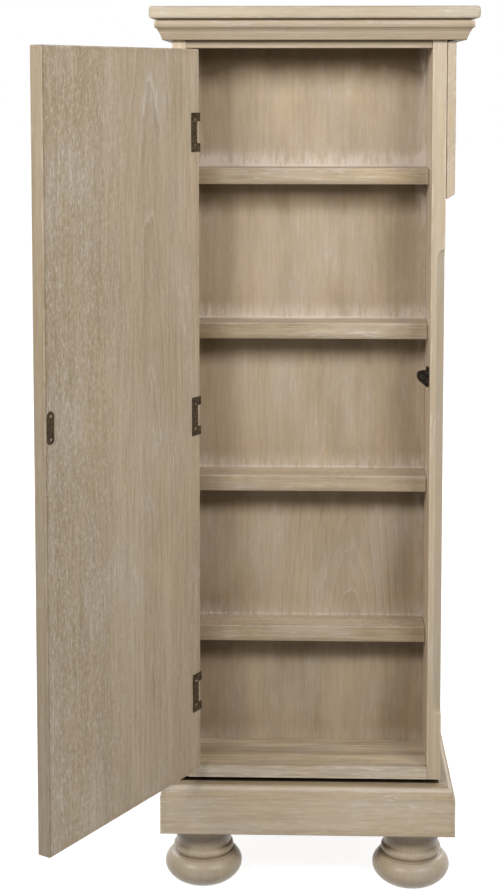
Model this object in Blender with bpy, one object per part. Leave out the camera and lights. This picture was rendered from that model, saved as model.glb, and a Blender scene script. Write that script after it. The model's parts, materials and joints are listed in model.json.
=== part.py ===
"""Swivel accent chest of limed wood.

A square case turns on a plinth with bun feet. Its front (-Y) has a shallow shelved compartment behind an
inset door, and its right side (+X) has a proud frieze drawer over four inset drawers. Lengths are in
metres and +Z is up. The origin is on the floor, on the swivel axis.
"""

import math

import bmesh
import bpy
from mathutils import Matrix

# Clearances
SEAT_GAP = 0.0003  # between two pieces that touch
MITRE_GAP = 0.0002  # taken off each mitred end, along the length
MERGE_DISTANCE = 1e-6  # closer points are one point

# Shading and easing angles
SHARP_DEGREES = 35.0
COVE_SHARP_DEGREES = 25.0
RING_SHARP_DEGREES = 60.0
EASED_FROM_DEGREES = 50.0  # edges sharper than this are eased

# Case
CASE_WIDTH = 0.429  # along X
CASE_DEPTH = 0.429  # along Y
POST_SIZE = 0.022
FLOOR_THICKNESS = 0.020
OPENING_HEIGHT = 1.155
HEAD_RAIL_HEIGHT = 0.045
PANEL_RECESS = 0.004  # side panels lie this far behind the posts' outer faces
WOOD_EASE = 0.0012  # eased edge of a board
CHAMFER_LEG = 0.013
CHAMFER_STOP_LENGTH = 0.014
CHAMFER_FOOT_MARGIN = 0.087  # from the case floor up to the chamfer
CHAMFER_HEAD_MARGIN = 0.078  # from the chamfer up to the frieze drawer
CHAMFER_STOP_STEPS = 4

# Compartment
COMPARTMENT_DEPTH = 0.1127
COMPARTMENT_BACK_THICKNESS = 0.009
SHELF_COUNT = 4
SHELF_PITCH = 0.250
SHELF_THICKNESS = 0.026
SHELF_SETBACK = 0.053  # from the case front to the shelves' front edges
LOW_SHELF_RISE = 0.2145  # from the case floor to the top of the lowest shelf
SHELF_EASE = 0.0020

# Cornice
SLAB_THICKNESS = 0.019
SLAB_OVERHANG = 0.034
SLAB_EDGE_RADIUS = 0.0045
CORNICE_HEIGHT = 0.033
CORNICE_SOFFIT = 0.0145  # width of the flat underside
CORNICE_COVE_REACH = 0.0238
CORNICE_COVE_HEIGHT = 0.0190
CORNICE_COVE_SAG = 0.0010
CORNICE_FILLET_REACH = 0.0260
CORNICE_FILLET_HEIGHT = 0.0103
CORNICE_GROOVE_DEPTH = 0.0055
COVE_STEPS = 5

# Door, hinges and latch
DOOR_THICKNESS = 0.022
DOOR_GAP = 0.002  # above, below and at the free edge
DOOR_OPEN_DEGREES = 121.0
DOOR_EASE = 0.0018
HINGE_SPACING = 0.4465
HINGE_HEIGHT = 0.061
HINGE_EAR_HEIGHT = 0.0135
HINGE_TAB_WIDTH = 0.0235
HINGE_NOTCH_DEPTH = 0.0085
HINGE_LEAF_THICKNESS = 0.0010
HINGE_LEAF_PLAY = 0.0006  # between the two leaves when closed
HINGE_LEAF_DEPTH = 0.018
HINGE_BARREL_RADIUS = 0.0028
HINGE_PIN_RADIUS = 0.0014
HINGE_KNUCKLE_PLAY = 0.0004
LATCH_RISE = 0.0540  # above the middle of the door
LATCH_HEIGHT = 0.031
LATCH_REACH = 0.0185
LATCH_DEPTH = 0.016
LATCH_PLATE = 0.0035
LATCH_LUG = 0.0060  # part of the plate that stands above the body
LATCH_NOSE_RADIUS = 0.0085
LATCH_NOSE_END_DEGREES = 228.0  # where the nose runs into the slope below it
LATCH_POCKET_RADIUS = 0.0066
LATCH_POCKET_DEPTH = 0.0040
LATCH_ROLLER_RADIUS = 0.0046
LATCH_PLAY = 0.0006
LATCH_STEPS = 7
STRIKE_DROP = 0.011  # from the latch's level down to the middle of the strike
STRIKE_WIDTH = 0.0145
STRIKE_HEIGHT = 0.047
STRIKE_THICKNESS = 0.0015
STRIKE_INSET = 0.0095  # from the door's free edge to the middle of the strike
STRIKE_STEPS = 8

# Drawers
LOWER_DRAWERS = 4
FRIEZE_HEIGHT = 0.2465
FRIEZE_PROUD = 0.0145
FRIEZE_SEAM = 0.0010  # between the case and the frieze front
FRIEZE_BEVEL_RISE = 0.0085
FRIEZE_TOP_GAP = 0.0025
FRONT_THICKNESS = 0.012
FRONT_GAP = 0.0025
FRONT_BACK_PLAY = 0.0010
FRONT_LAP = 0.004  # a front hangs this far below the top of the panel that carries its drawer
DUST_PANEL_THICKNESS = 0.012
BOX_WALL = 0.012
BOX_BOTTOM = 0.008
BOX_SIDE_PLAY = 0.002
BOX_REAR_PLAY = 0.010
BOX_HEADROOM = 0.030
KNOB_RADIUS = 0.015
KNOB_HEAD_HALF = 0.0045  # half the thickness of the knob's head
KNOB_STEM_RADIUS = 0.0070
KNOB_PROJECTION = 0.015
KNOB_ROSE_RADIUS = 0.0110
KNOB_ROSE_HEIGHT = 0.0020
KNOB_FRONT_DEGREES = 70.0  # the head's curve starts here, above its widest ring
KNOB_BACK_DEGREES = -50.0
KNOB_STEPS = 6

# Plinth, feet and swivel
PLINTH_HEIGHT = 0.079
PLINTH_OVERHANG = 0.0225
PLINTH_BOARD = 0.0245
PLINTH_LEDGE = 0.0032  # flat step under the rounded nose
PLINTH_NOSE_DEPTH = 0.0075
PLINTH_NOSE_HEIGHT = 0.0145
PLINTH_QUIRK = 0.0020
NOSE_STEPS = 6
DECK_THICKNESS = 0.018
BASE_BOARD_THICKNESS = 0.015
SWIVEL_GAP = 0.007
SWIVEL_PLATE_SIZE = 0.230
SWIVEL_PLATE_THICKNESS = 0.0015
SWIVEL_PLATE_CORNER = 0.030
SWIVEL_CORNER_STEPS = 3
SWIVEL_RACE_RADIUS = 0.085
RACE_SECTION_SEGMENTS = 8
FOOT_HEIGHT = 0.097
FOOT_INSET = 0.0665  # from the plinth's outer faces to a foot's centre
FOOT_RADIUS = 0.063
FOOT_EQUATOR = 0.025
FOOT_PAD_RADIUS = 0.0445
FOOT_BUN_TOP = 0.0440
FOOT_SHOULDER_RADIUS = 0.0515
FOOT_RING_RADIUS = 0.0500  # flat ring between bun and collar
FOOT_RING_TOP = 0.0462
FOOT_COLLAR_RADIUS = 0.0490
FOOT_COLLAR_TOP = 0.0595
FOOT_COLLAR_END_DEGREES = -60.0
FOOT_WAIST_RADIUS = 0.0442
FOOT_WAIST_HEIGHT = 0.0625
FOOT_NECK_RADIUS = 0.0480
FOOT_NECK_RIM = 0.0205  # straight rim of the neck under the plinth
FOOT_SEGMENTS = 32
BUN_STEPS = 5
COLLAR_STEPS = 4
NECK_STEPS = 4
SMALL_ROUND_SEGMENTS = 16

# Levels and faces that follow from the sizes above
PLINTH_BOTTOM = FOOT_HEIGHT
PLINTH_TOP = PLINTH_BOTTOM + PLINTH_HEIGHT
CASE_BOTTOM = PLINTH_TOP + SWIVEL_GAP
FLOOR_TOP = CASE_BOTTOM + FLOOR_THICKNESS
OPENING_TOP = FLOOR_TOP + OPENING_HEIGHT
CASE_TOP = OPENING_TOP + HEAD_RAIL_HEIGHT
CORNICE_BOTTOM = CASE_TOP - CORNICE_HEIGHT
CASE_LEFT = -CASE_WIDTH / 2
CASE_RIGHT = CASE_WIDTH / 2
CASE_FRONT = -CASE_DEPTH / 2
CASE_BACK = CASE_DEPTH / 2
INNER_LEFT = CASE_LEFT + POST_SIZE
INNER_RIGHT = CASE_RIGHT - POST_SIZE
INNER_FRONT = CASE_FRONT + POST_SIZE
INNER_BACK = CASE_BACK - POST_SIZE
FRIEZE_FACE = CASE_RIGHT + FRIEZE_PROUD
FRIEZE_TOP = CORNICE_BOTTOM - FRIEZE_TOP_GAP
FRIEZE_BOTTOM = FRIEZE_TOP - FRIEZE_HEIGHT
FRONT_INNER = CASE_RIGHT - FRONT_THICKNESS
WALL_OUTER = FRONT_INNER - FRONT_BACK_PLAY
PARTITION_FRONT = CASE_FRONT + COMPARTMENT_DEPTH
PARTITION_BACK = PARTITION_FRONT + COMPARTMENT_BACK_THICKNESS
DRAWER_SPACE_FRONT = PARTITION_BACK + SEAT_GAP
DRAWER_SPACE_BACK = INNER_BACK - SEAT_GAP
DOOR_BOTTOM = FLOOR_TOP + DOOR_GAP
DOOR_TOP = OPENING_TOP - DOOR_GAP
DOOR_MIDDLE = (DOOR_BOTTOM + DOOR_TOP) / 2
HINGE_GAP = 2 * SEAT_GAP + 2 * HINGE_LEAF_THICKNESS + HINGE_LEAF_PLAY
PIN_X = INNER_LEFT + SEAT_GAP + HINGE_LEAF_THICKNESS / 2
PIN_Y = CASE_FRONT - HINGE_BARREL_RADIUS - SEAT_GAP
DOOR_OUTER_FACE = CASE_FRONT - PIN_Y
DOOR_INNER_FACE = DOOR_OUTER_FACE + DOOR_THICKNESS
DOOR_HINGE_EDGE = INNER_LEFT + HINGE_GAP - PIN_X
DOOR_FREE_EDGE = INNER_RIGHT - DOOR_GAP - PIN_X
LATCH_LEVEL = DOOR_MIDDLE + LATCH_RISE
STRIKE_LEVEL = LATCH_LEVEL - STRIKE_DROP
FOOT_X = CASE_RIGHT + PLINTH_OVERHANG - FOOT_INSET
FOOT_Y = CASE_BACK + PLINTH_OVERHANG - FOOT_INSET

# Colours (linear), with roughness and metallic value
PALE_WOOD = ((0.60, 0.51, 0.39), 0.55, 0.0)
DOOR_WOOD = ((0.46, 0.38, 0.28), 0.55, 0.0)
INNER_WOOD = ((0.36, 0.28, 0.19), 0.60, 0.0)
PLINTH_WOOD = ((0.45, 0.37, 0.26), 0.55, 0.0)
FOOT_WOOD = ((0.33, 0.26, 0.18), 0.50, 0.0)
RAW_WOOD = ((0.50, 0.40, 0.27), 0.70, 0.0)
BRONZE = ((0.055, 0.042, 0.030), 0.45, 0.8)
STEEL = ((0.45, 0.45, 0.45), 0.40, 1.0)


def new_object(name, mesh_maker, finish, parent, location=(0.0, 0.0, 0.0)):
    """Object with its own material; mesh_maker is a bmesh in the object's own coordinates."""
    bmesh.ops.remove_doubles(mesh_maker, verts=mesh_maker.verts, dist=MERGE_DISTANCE)
    bmesh.ops.dissolve_degenerate(mesh_maker, edges=mesh_maker.edges, dist=MERGE_DISTANCE)
    bmesh.ops.recalc_face_normals(mesh_maker, faces=mesh_maker.faces)
    mesh = bpy.data.meshes.new(name)
    mesh_maker.to_mesh(mesh)
    mesh_maker.free()
    obj = bpy.data.objects.new(name, mesh)
    bpy.context.scene.collection.objects.link(obj)
    obj.parent = parent
    obj.location = location
    colour, roughness, metallic = finish
    material = bpy.data.materials.new(name)
    material.use_nodes = True
    shader = material.node_tree.nodes["Principled BSDF"]
    shader.inputs["Base Color"].default_value = (*colour, 1.0)
    shader.inputs["Roughness"].default_value = roughness
    shader.inputs["Metallic"].default_value = metallic
    mesh.materials.append(material)
    return obj


def axis_empty(name, parent, location, turn=0.0):
    """Empty on a joint's axis that carries the pieces moving about it."""
    empty = bpy.data.objects.new(name, None)
    bpy.context.scene.collection.objects.link(empty)
    empty.parent = parent
    empty.location = location
    empty.rotation_euler = (0.0, 0.0, turn)
    return empty


def shade_round(obj, sharp_degrees=SHARP_DEGREES):
    obj.data.shade_smooth()
    obj.data.set_sharp_from_angle(angle=math.radians(sharp_degrees))


def ease_edges(obj, radius, segments=1):
    bevel = obj.modifiers.new("eased_edges", "BEVEL")
    bevel.width = radius
    bevel.segments = segments
    bevel.limit_method = "ANGLE"
    bevel.angle_limit = math.radians(EASED_FROM_DEGREES)
    bevel.use_clamp_overlap = True


def box_mesh(low, high):
    """Closed box between two corners."""
    maker = bmesh.new()
    size = [high[i] - low[i] for i in range(3)]
    middle = [(high[i] + low[i]) / 2 for i in range(3)]
    placing = Matrix.Translation(middle) @ Matrix.Diagonal((*size, 1.0))
    bmesh.ops.create_cube(maker, size=1.0, matrix=placing)
    return maker


def board(name, low, high, finish, parent, ease=WOOD_EASE, segments=1):
    """Rectangular board with eased edges, its origin in its middle."""
    middle = [(high[i] + low[i]) / 2 for i in range(3)]
    half = [(high[i] - low[i]) / 2 for i in range(3)]
    obj = new_object(name, box_mesh([-h for h in half], half), finish, parent, middle)
    if ease:
        ease_edges(obj, ease, segments)
    return obj


def prism_mesh(outline, start, end, axis="Z"):
    """Outline of 2-D points swept straight along one axis from start to end.

    Along Z the points are (x, y), along Y they are (x, z) and along X they are (y, z).
    """
    maker = bmesh.new()
    spots = {
        "Z": lambda p, along: (p[0], p[1], along),
        "Y": lambda p, along: (p[0], along, p[1]),
        "X": lambda p, along: (along, p[0], p[1]),
    }[axis]
    near = [maker.verts.new(spots(point, start)) for point in outline]
    far = [maker.verts.new(spots(point, end)) for point in outline]
    maker.faces.new(near)
    maker.faces.new(far[::-1])
    bridge_rings(maker, near, far)
    return maker


def bridge_rings(maker, first, second):
    count = len(first)
    for i in range(count):
        after = (i + 1) % count
        maker.faces.new((first[i], first[after], second[after], second[i]))


def turned_mesh(profile, segments):
    """Profile of (radius, height) points spun round Z; both ends lie on the axis."""
    maker = bmesh.new()
    verts = [maker.verts.new((radius, 0.0, height)) for radius, height in profile]
    edges = [maker.edges.new(pair) for pair in zip(verts, verts[1:])]
    bmesh.ops.spin(
        maker,
        geom=verts + edges,
        cent=(0.0, 0.0, 0.0),
        axis=(0.0, 0.0, 1.0),
        angle=math.tau,
        steps=segments,
        use_merge=True,
    )
    return maker


def cylinder_mesh(radius, low, high, centre=(0.0, 0.0), axis="Z"):
    outline = []
    for i in range(SMALL_ROUND_SEGMENTS):
        angle = math.tau * (i + 0.5) / SMALL_ROUND_SEGMENTS
        outline.append((centre[0] + radius * math.cos(angle), centre[1] + radius * math.sin(angle)))
    return prism_mesh(outline, low, high, axis)


def combine(target, maker, operation):
    """Boolean of the target with a helper solid, which is removed again."""
    helper = new_object(target.name + "_helper", maker, PALE_WOOD, target.parent, target.location)
    change = target.modifiers.new(operation.lower(), "BOOLEAN")
    change.object = helper
    change.operation = operation
    change.solver = "EXACT"
    bpy.context.view_layer.update()
    graph = bpy.context.evaluated_depsgraph_get()
    result = bpy.data.meshes.new_from_object(target.evaluated_get(graph))
    target.modifiers.clear()
    target.data = result
    bpy.data.objects.remove(helper)


def arc_points(centre, radii, start_degrees, end_degrees, steps):
    """Points on an elliptic arc, both ends included."""
    points = []
    for i in range(steps + 1):
        angle = math.radians(start_degrees + (end_degrees - start_degrees) * i / steps)
        points.append((centre[0] + radii[0] * math.cos(angle), centre[1] + radii[1] * math.sin(angle)))
    return points


def mitred_length(name, side, profile, frame, finish, parent):
    """One side of a mitred frame round a rectangle.

    profile holds (offset outwards from the rectangle, height) points, and frame is the rectangle as
    (x low, x high, y low, y high).
    """
    x_low, x_high, y_low, y_high = frame
    maker = bmesh.new()
    rings = []
    for end in (-1, 1):
        ring = []
        for offset, height in profile:
            if side in ("front", "back"):
                y = y_low - offset if side == "front" else y_high + offset
                x = x_low - offset + MITRE_GAP if end < 0 else x_high + offset - MITRE_GAP
            else:
                x = x_low - offset if side == "left" else x_high + offset
                y = y_low - offset + MITRE_GAP if end < 0 else y_high + offset - MITRE_GAP
            ring.append(maker.verts.new((x, y, height)))
        rings.append(ring)
    maker.faces.new(rings[0])
    maker.faces.new(rings[1][::-1])
    bridge_rings(maker, rings[0], rings[1])
    return new_object(name, maker, finish, parent)


def remove_everything():
    for obj in list(bpy.data.objects):
        bpy.data.objects.remove(obj, do_unlink=True)


def bun_foot_profile():
    """Half section of a bun foot from its top to the floor: hollow neck, collar, flat ring and bun."""
    top = FOOT_HEIGHT - SEAT_GAP
    points = [(0.0, top), (FOOT_NECK_RADIUS, top)]
    hollow = (FOOT_NECK_RADIUS - FOOT_WAIST_RADIUS, top - FOOT_NECK_RIM - FOOT_WAIST_HEIGHT)
    points += arc_points((FOOT_NECK_RADIUS, FOOT_WAIST_HEIGHT), hollow, 90.0, 180.0, NECK_STEPS)
    collar_centre = (FOOT_WAIST_RADIUS, (FOOT_COLLAR_TOP + FOOT_RING_TOP) / 2)
    collar = (FOOT_COLLAR_RADIUS - FOOT_WAIST_RADIUS, (FOOT_COLLAR_TOP - FOOT_RING_TOP) / 2)
    points += arc_points(collar_centre, collar, 90.0, FOOT_COLLAR_END_DEGREES, COLLAR_STEPS)
    points += [(FOOT_RING_RADIUS, FOOT_RING_TOP), (FOOT_RING_RADIUS, FOOT_BUN_TOP)]
    bun_centre = (0.0, FOOT_EQUATOR)
    shoulder = math.acos(FOOT_SHOULDER_RADIUS / FOOT_RADIUS)
    upper = (FOOT_RADIUS, (FOOT_BUN_TOP - FOOT_EQUATOR) / math.sin(shoulder))
    points += arc_points(bun_centre, upper, math.degrees(shoulder), 0.0, BUN_STEPS)
    pad = math.acos(FOOT_PAD_RADIUS / FOOT_RADIUS)
    lower = (FOOT_RADIUS, FOOT_EQUATOR / math.sin(pad))
    points += arc_points(bun_centre, lower, 0.0, -math.degrees(pad), BUN_STEPS)[1:]
    points.append((0.0, 0.0))
    return points


def build_base(parent):
    """Plinth frame, deck, base board, feet and the fixed half of the swivel."""
    inner = PLINTH_OVERHANG - PLINTH_BOARD
    nose_low = PLINTH_TOP - PLINTH_QUIRK - PLINTH_NOSE_HEIGHT
    nose_inner = PLINTH_OVERHANG - PLINTH_LEDGE - PLINTH_NOSE_DEPTH
    profile = [(inner, PLINTH_BOTTOM), (PLINTH_OVERHANG, PLINTH_BOTTOM), (PLINTH_OVERHANG, nose_low)]
    nose = (PLINTH_NOSE_DEPTH, PLINTH_NOSE_HEIGHT)
    profile += arc_points((nose_inner, nose_low), nose, 0.0, 90.0, NOSE_STEPS)
    profile += [(nose_inner, PLINTH_TOP), (inner, PLINTH_TOP)]
    frame = (CASE_LEFT, CASE_RIGHT, CASE_FRONT, CASE_BACK)
    for side in ("front", "right", "back", "left"):
        length = mitred_length("plinth_" + side, side, profile, frame, PLINTH_WOOD, parent)
        shade_round(length)
    half_x = CASE_RIGHT + inner - SEAT_GAP
    half_y = CASE_BACK + inner - SEAT_GAP
    deck_low = (-half_x, -half_y, PLINTH_TOP - DECK_THICKNESS)
    board("plinth_deck", deck_low, (half_x, half_y, PLINTH_TOP), PLINTH_WOOD, parent, ease=0.0)
    base_high = (half_x, half_y, PLINTH_BOTTOM + BASE_BOARD_THICKNESS)
    board("plinth_base_board", (-half_x, -half_y, PLINTH_BOTTOM), base_high, RAW_WOOD, parent, ease=0.0)
    for depth_name, y in (("front", -FOOT_Y), ("back", FOOT_Y)):
        for side_name, x in (("left", -FOOT_X), ("right", FOOT_X)):
            name = "bun_foot_" + depth_name + "_" + side_name
            turned = turned_mesh(bun_foot_profile(), FOOT_SEGMENTS)
            shade_round(new_object(name, turned, FOOT_WOOD, parent, (x, y, 0.0)))
    plate_low = PLINTH_TOP + SEAT_GAP
    swivel_plate("swivel_lower_plate", plate_low, parent)
    ball_space = SWIVEL_GAP - 2 * SEAT_GAP - 2 * SWIVEL_PLATE_THICKNESS
    ball_radius = ball_space / 2 - SEAT_GAP
    ring_level = plate_low + SWIVEL_PLATE_THICKNESS + ball_space / 2
    ring = bmesh.new()
    bmesh.ops.create_circle(ring, segments=RACE_SECTION_SEGMENTS, radius=ball_radius)
    bmesh.ops.rotate(ring, verts=ring.verts, matrix=Matrix.Rotation(math.pi / 2, 3, "X"))
    bmesh.ops.translate(ring, verts=ring.verts, vec=(SWIVEL_RACE_RADIUS, 0.0, 0.0))
    bmesh.ops.spin(
        ring,
        geom=ring.verts[:] + ring.edges[:],
        cent=(0.0, 0.0, 0.0),
        axis=(0.0, 0.0, 1.0),
        angle=math.tau,
        steps=FOOT_SEGMENTS,
        use_merge=True,
    )
    ring_object = new_object("swivel_ball_ring", ring, STEEL, parent, (0.0, 0.0, ring_level))
    shade_round(ring_object, RING_SHARP_DEGREES)


def swivel_plate(name, low, parent):
    """Pressed square plate of the swivel, with rounded corners."""
    half = SWIVEL_PLATE_SIZE / 2
    core = half - SWIVEL_PLATE_CORNER
    outline = []
    corner = (SWIVEL_PLATE_CORNER, SWIVEL_PLATE_CORNER)
    for quarter, (x, y) in enumerate(((core, core), (-core, core), (-core, -core), (core, -core))):
        start = 90.0 * quarter
        outline += arc_points((x, y), corner, start, start + 90.0, SWIVEL_CORNER_STEPS)
    plate = prism_mesh(outline, 0.0, SWIVEL_PLATE_THICKNESS)
    return new_object(name, plate, STEEL, parent, (0.0, 0.0, low))


def chamfer_at(height, low, high):
    """Leg of the stopped chamfer at a height; it swells from nothing over each curved stop."""
    reach = min(height - low, high - height) / CHAMFER_STOP_LENGTH
    reach = max(0.0, min(1.0, reach))
    return CHAMFER_LEG * math.sqrt(1.0 - (1.0 - reach) ** 2)


def chamfered_post(name, y_outer, y_inner, parent):
    """Corner post on the drawer side, its outer corner cut by a stopped chamfer."""
    low = FLOOR_TOP + CHAMFER_FOOT_MARGIN
    high = FRIEZE_BOTTOM - CHAMFER_HEAD_MARGIN
    top = CASE_TOP - SEAT_GAP
    stops = [CHAMFER_STOP_LENGTH * (i / CHAMFER_STOP_STEPS) ** 2 for i in range(CHAMFER_STOP_STEPS + 1)]
    heights = [CASE_BOTTOM]
    heights += [low + step for step in stops]
    heights += [high - step for step in reversed(stops)]
    heights.append(top)
    inward = 1.0 if y_inner > y_outer else -1.0
    maker = bmesh.new()
    rings = []
    for height in heights:
        leg = chamfer_at(height, low, high)
        section = (
            (INNER_RIGHT, y_inner),
            (INNER_RIGHT, y_outer),
            (CASE_RIGHT - leg, y_outer),
            (CASE_RIGHT, y_outer + inward * leg),
            (CASE_RIGHT, y_inner),
        )
        rings.append([maker.verts.new((x, y, height)) for x, y in section])
    maker.faces.new(rings[0])
    maker.faces.new(rings[-1][::-1])
    for first, second in zip(rings, rings[1:]):
        bridge_rings(maker, first, second)
    return new_object(name, maker, PALE_WOOD, parent)


def build_case(parent):
    """Turning half of the swivel, floor, posts, panels, compartment and head rails."""
    top = CASE_TOP - SEAT_GAP
    swivel_plate("swivel_upper_plate", CASE_BOTTOM - SEAT_GAP - SWIVEL_PLATE_THICKNESS, parent)
    notch = POST_SIZE + SEAT_GAP
    outline = [
        (CASE_LEFT + notch, CASE_FRONT),
        (CASE_RIGHT - notch, CASE_FRONT),
        (CASE_RIGHT - notch, CASE_FRONT + notch),
        (CASE_RIGHT, CASE_FRONT + notch),
        (CASE_RIGHT, CASE_BACK - notch),
        (CASE_RIGHT - notch, CASE_BACK - notch),
        (CASE_RIGHT - notch, CASE_BACK),
        (CASE_LEFT + notch, CASE_BACK),
        (CASE_LEFT + notch, CASE_BACK - notch),
        (CASE_LEFT, CASE_BACK - notch),
        (CASE_LEFT, CASE_FRONT + notch),
        (CASE_LEFT + notch, CASE_FRONT + notch),
    ]
    new_object("case_floor", prism_mesh(outline, CASE_BOTTOM, FLOOR_TOP), PALE_WOOD, parent)
    for name, y_low, y_high in (("front", CASE_FRONT, INNER_FRONT), ("back", INNER_BACK, CASE_BACK)):
        post_low = (CASE_LEFT, y_low, CASE_BOTTOM)
        board("post_" + name + "_left", post_low, (INNER_LEFT, y_high, top), PALE_WOOD, parent)
    chamfered_post("post_front_right", CASE_FRONT, INNER_FRONT, parent)
    chamfered_post("post_back_right", CASE_BACK, INNER_BACK, parent)
    stand = FLOOR_TOP + SEAT_GAP
    left_low = (CASE_LEFT + PANEL_RECESS, INNER_FRONT + SEAT_GAP, stand)
    left_high = (INNER_LEFT, INNER_BACK - SEAT_GAP, top)
    board("side_panel_left", left_low, left_high, PALE_WOOD, parent, ease=0.0)
    back_low = (INNER_LEFT + SEAT_GAP, INNER_BACK, stand)
    back_high = (INNER_RIGHT - SEAT_GAP, CASE_BACK - PANEL_RECESS, top)
    board("side_panel_back", back_low, back_high, PALE_WOOD, parent, ease=0.0)
    span_left = INNER_LEFT + SEAT_GAP
    span_right = INNER_RIGHT - SEAT_GAP
    partition_low = (span_left, PARTITION_FRONT, stand)
    partition_high = (span_right, PARTITION_BACK, top)
    board("compartment_back", partition_low, partition_high, INNER_WOOD, parent, ease=0.0)
    wall_low = (INNER_RIGHT, INNER_FRONT + SEAT_GAP, stand)
    wall_high = (WALL_OUTER, PARTITION_BACK, OPENING_TOP - SEAT_GAP)
    board("compartment_wall", wall_low, wall_high, INNER_WOOD, parent, ease=0.0)
    for i in range(SHELF_COUNT):
        level = FLOOR_TOP + LOW_SHELF_RISE + i * SHELF_PITCH
        shelf_low = (span_left, CASE_FRONT + SHELF_SETBACK, level - SHELF_THICKNESS)
        shelf_high = (span_right, PARTITION_FRONT - SEAT_GAP, level)
        name = "shelf_" + str(SHELF_COUNT - i)
        board(name, shelf_low, shelf_high, INNER_WOOD, parent, ease=SHELF_EASE, segments=2)
    head_low = (span_left, CASE_FRONT, OPENING_TOP)
    board("door_head_rail", head_low, (span_right, INNER_FRONT, top), PALE_WOOD, parent)
    build_drawer_head_rail(parent)


def build_drawer_head_rail(parent):
    """Rail over the drawers, with a lip that fills the cornice out over the frieze drawer."""
    top = CASE_TOP - SEAT_GAP
    lip_face = FRIEZE_FACE - SEAT_GAP
    section = [
        (INNER_RIGHT, OPENING_TOP),
        (CASE_RIGHT, OPENING_TOP),
        (CASE_RIGHT, CORNICE_BOTTOM),
        (lip_face, CORNICE_BOTTOM),
        (lip_face, top),
        (INNER_RIGHT, top),
    ]
    rail = prism_mesh(section, INNER_FRONT + SEAT_GAP, INNER_BACK - SEAT_GAP, axis="Y")
    obj = new_object("drawer_head_rail", rail, PALE_WOOD, parent)
    lip = box_mesh((CASE_RIGHT + SEAT_GAP, CASE_FRONT, CORNICE_BOTTOM), (lip_face, CASE_BACK, top))
    combine(obj, lip, "UNION")


def build_cornice(parent):
    """Top slab and the four mitred lengths of moulding under it."""
    fillet_low = CORNICE_BOTTOM + CORNICE_COVE_HEIGHT
    fillet_top = fillet_low + CORNICE_FILLET_HEIGHT
    groove_face = CORNICE_FILLET_REACH - CORNICE_GROOVE_DEPTH
    top = CASE_TOP - SEAT_GAP
    profile = [(SEAT_GAP, CORNICE_BOTTOM)]
    run = CORNICE_COVE_REACH - CORNICE_SOFFIT
    length = math.hypot(run, CORNICE_COVE_HEIGHT)
    for i in range(COVE_STEPS + 1):
        share = i / COVE_STEPS
        sag = CORNICE_COVE_SAG * 4.0 * share * (1.0 - share)
        reach = CORNICE_SOFFIT + run * share - sag * CORNICE_COVE_HEIGHT / length
        height = CORNICE_BOTTOM + CORNICE_COVE_HEIGHT * share + sag * run / length
        profile.append((reach, height))
    profile += [(CORNICE_FILLET_REACH, fillet_low), (CORNICE_FILLET_REACH, fillet_top)]
    profile += [(groove_face, fillet_top), (groove_face, top), (SEAT_GAP, top)]
    frame = (CASE_LEFT, FRIEZE_FACE, CASE_FRONT, CASE_BACK)
    for side in ("front", "right", "back", "left"):
        length_of_side = mitred_length("cornice_" + side, side, profile, frame, PALE_WOOD, parent)
        shade_round(length_of_side, COVE_SHARP_DEGREES)
    slab_low = (CASE_LEFT - SLAB_OVERHANG, CASE_FRONT - SLAB_OVERHANG, CASE_TOP)
    slab_high = (FRIEZE_FACE + SLAB_OVERHANG, CASE_BACK + SLAB_OVERHANG, CASE_TOP + SLAB_THICKNESS)
    board("cornice_slab", slab_low, slab_high, PALE_WOOD, parent, ease=SLAB_EDGE_RADIUS, segments=3)


def hinge_levels():
    return (
        ("top", DOOR_MIDDLE + HINGE_SPACING),
        ("middle", DOOR_MIDDLE),
        ("bottom", DOOR_MIDDLE - HINGE_SPACING),
    )


def build_hinge_frame_leaf(name, level, parent):
    """Leaf on the post with the middle knuckle and the pin; coordinates are about the pin."""
    half = HINGE_HEIGHT / 2
    knuckle = half - HINGE_EAR_HEIGHT - HINGE_KNUCKLE_PLAY
    side = HINGE_LEAF_THICKNESS / 2
    plate_start = DOOR_OUTER_FACE + SEAT_GAP
    plate = box_mesh((-side, plate_start, -half), (side, DOOR_OUTER_FACE + HINGE_LEAF_DEPTH, half))
    leaf = new_object(name, plate, BRONZE, parent, (PIN_X, PIN_Y, level))
    strip_end = plate_start + HINGE_LEAF_THICKNESS
    combine(leaf, box_mesh((-side, 0.0, -knuckle), (side, strip_end, knuckle)), "UNION")
    combine(leaf, cylinder_mesh(HINGE_BARREL_RADIUS, -knuckle, knuckle), "UNION")
    combine(leaf, cylinder_mesh(HINGE_PIN_RADIUS, -half, half), "UNION")
    shade_round(leaf)


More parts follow.
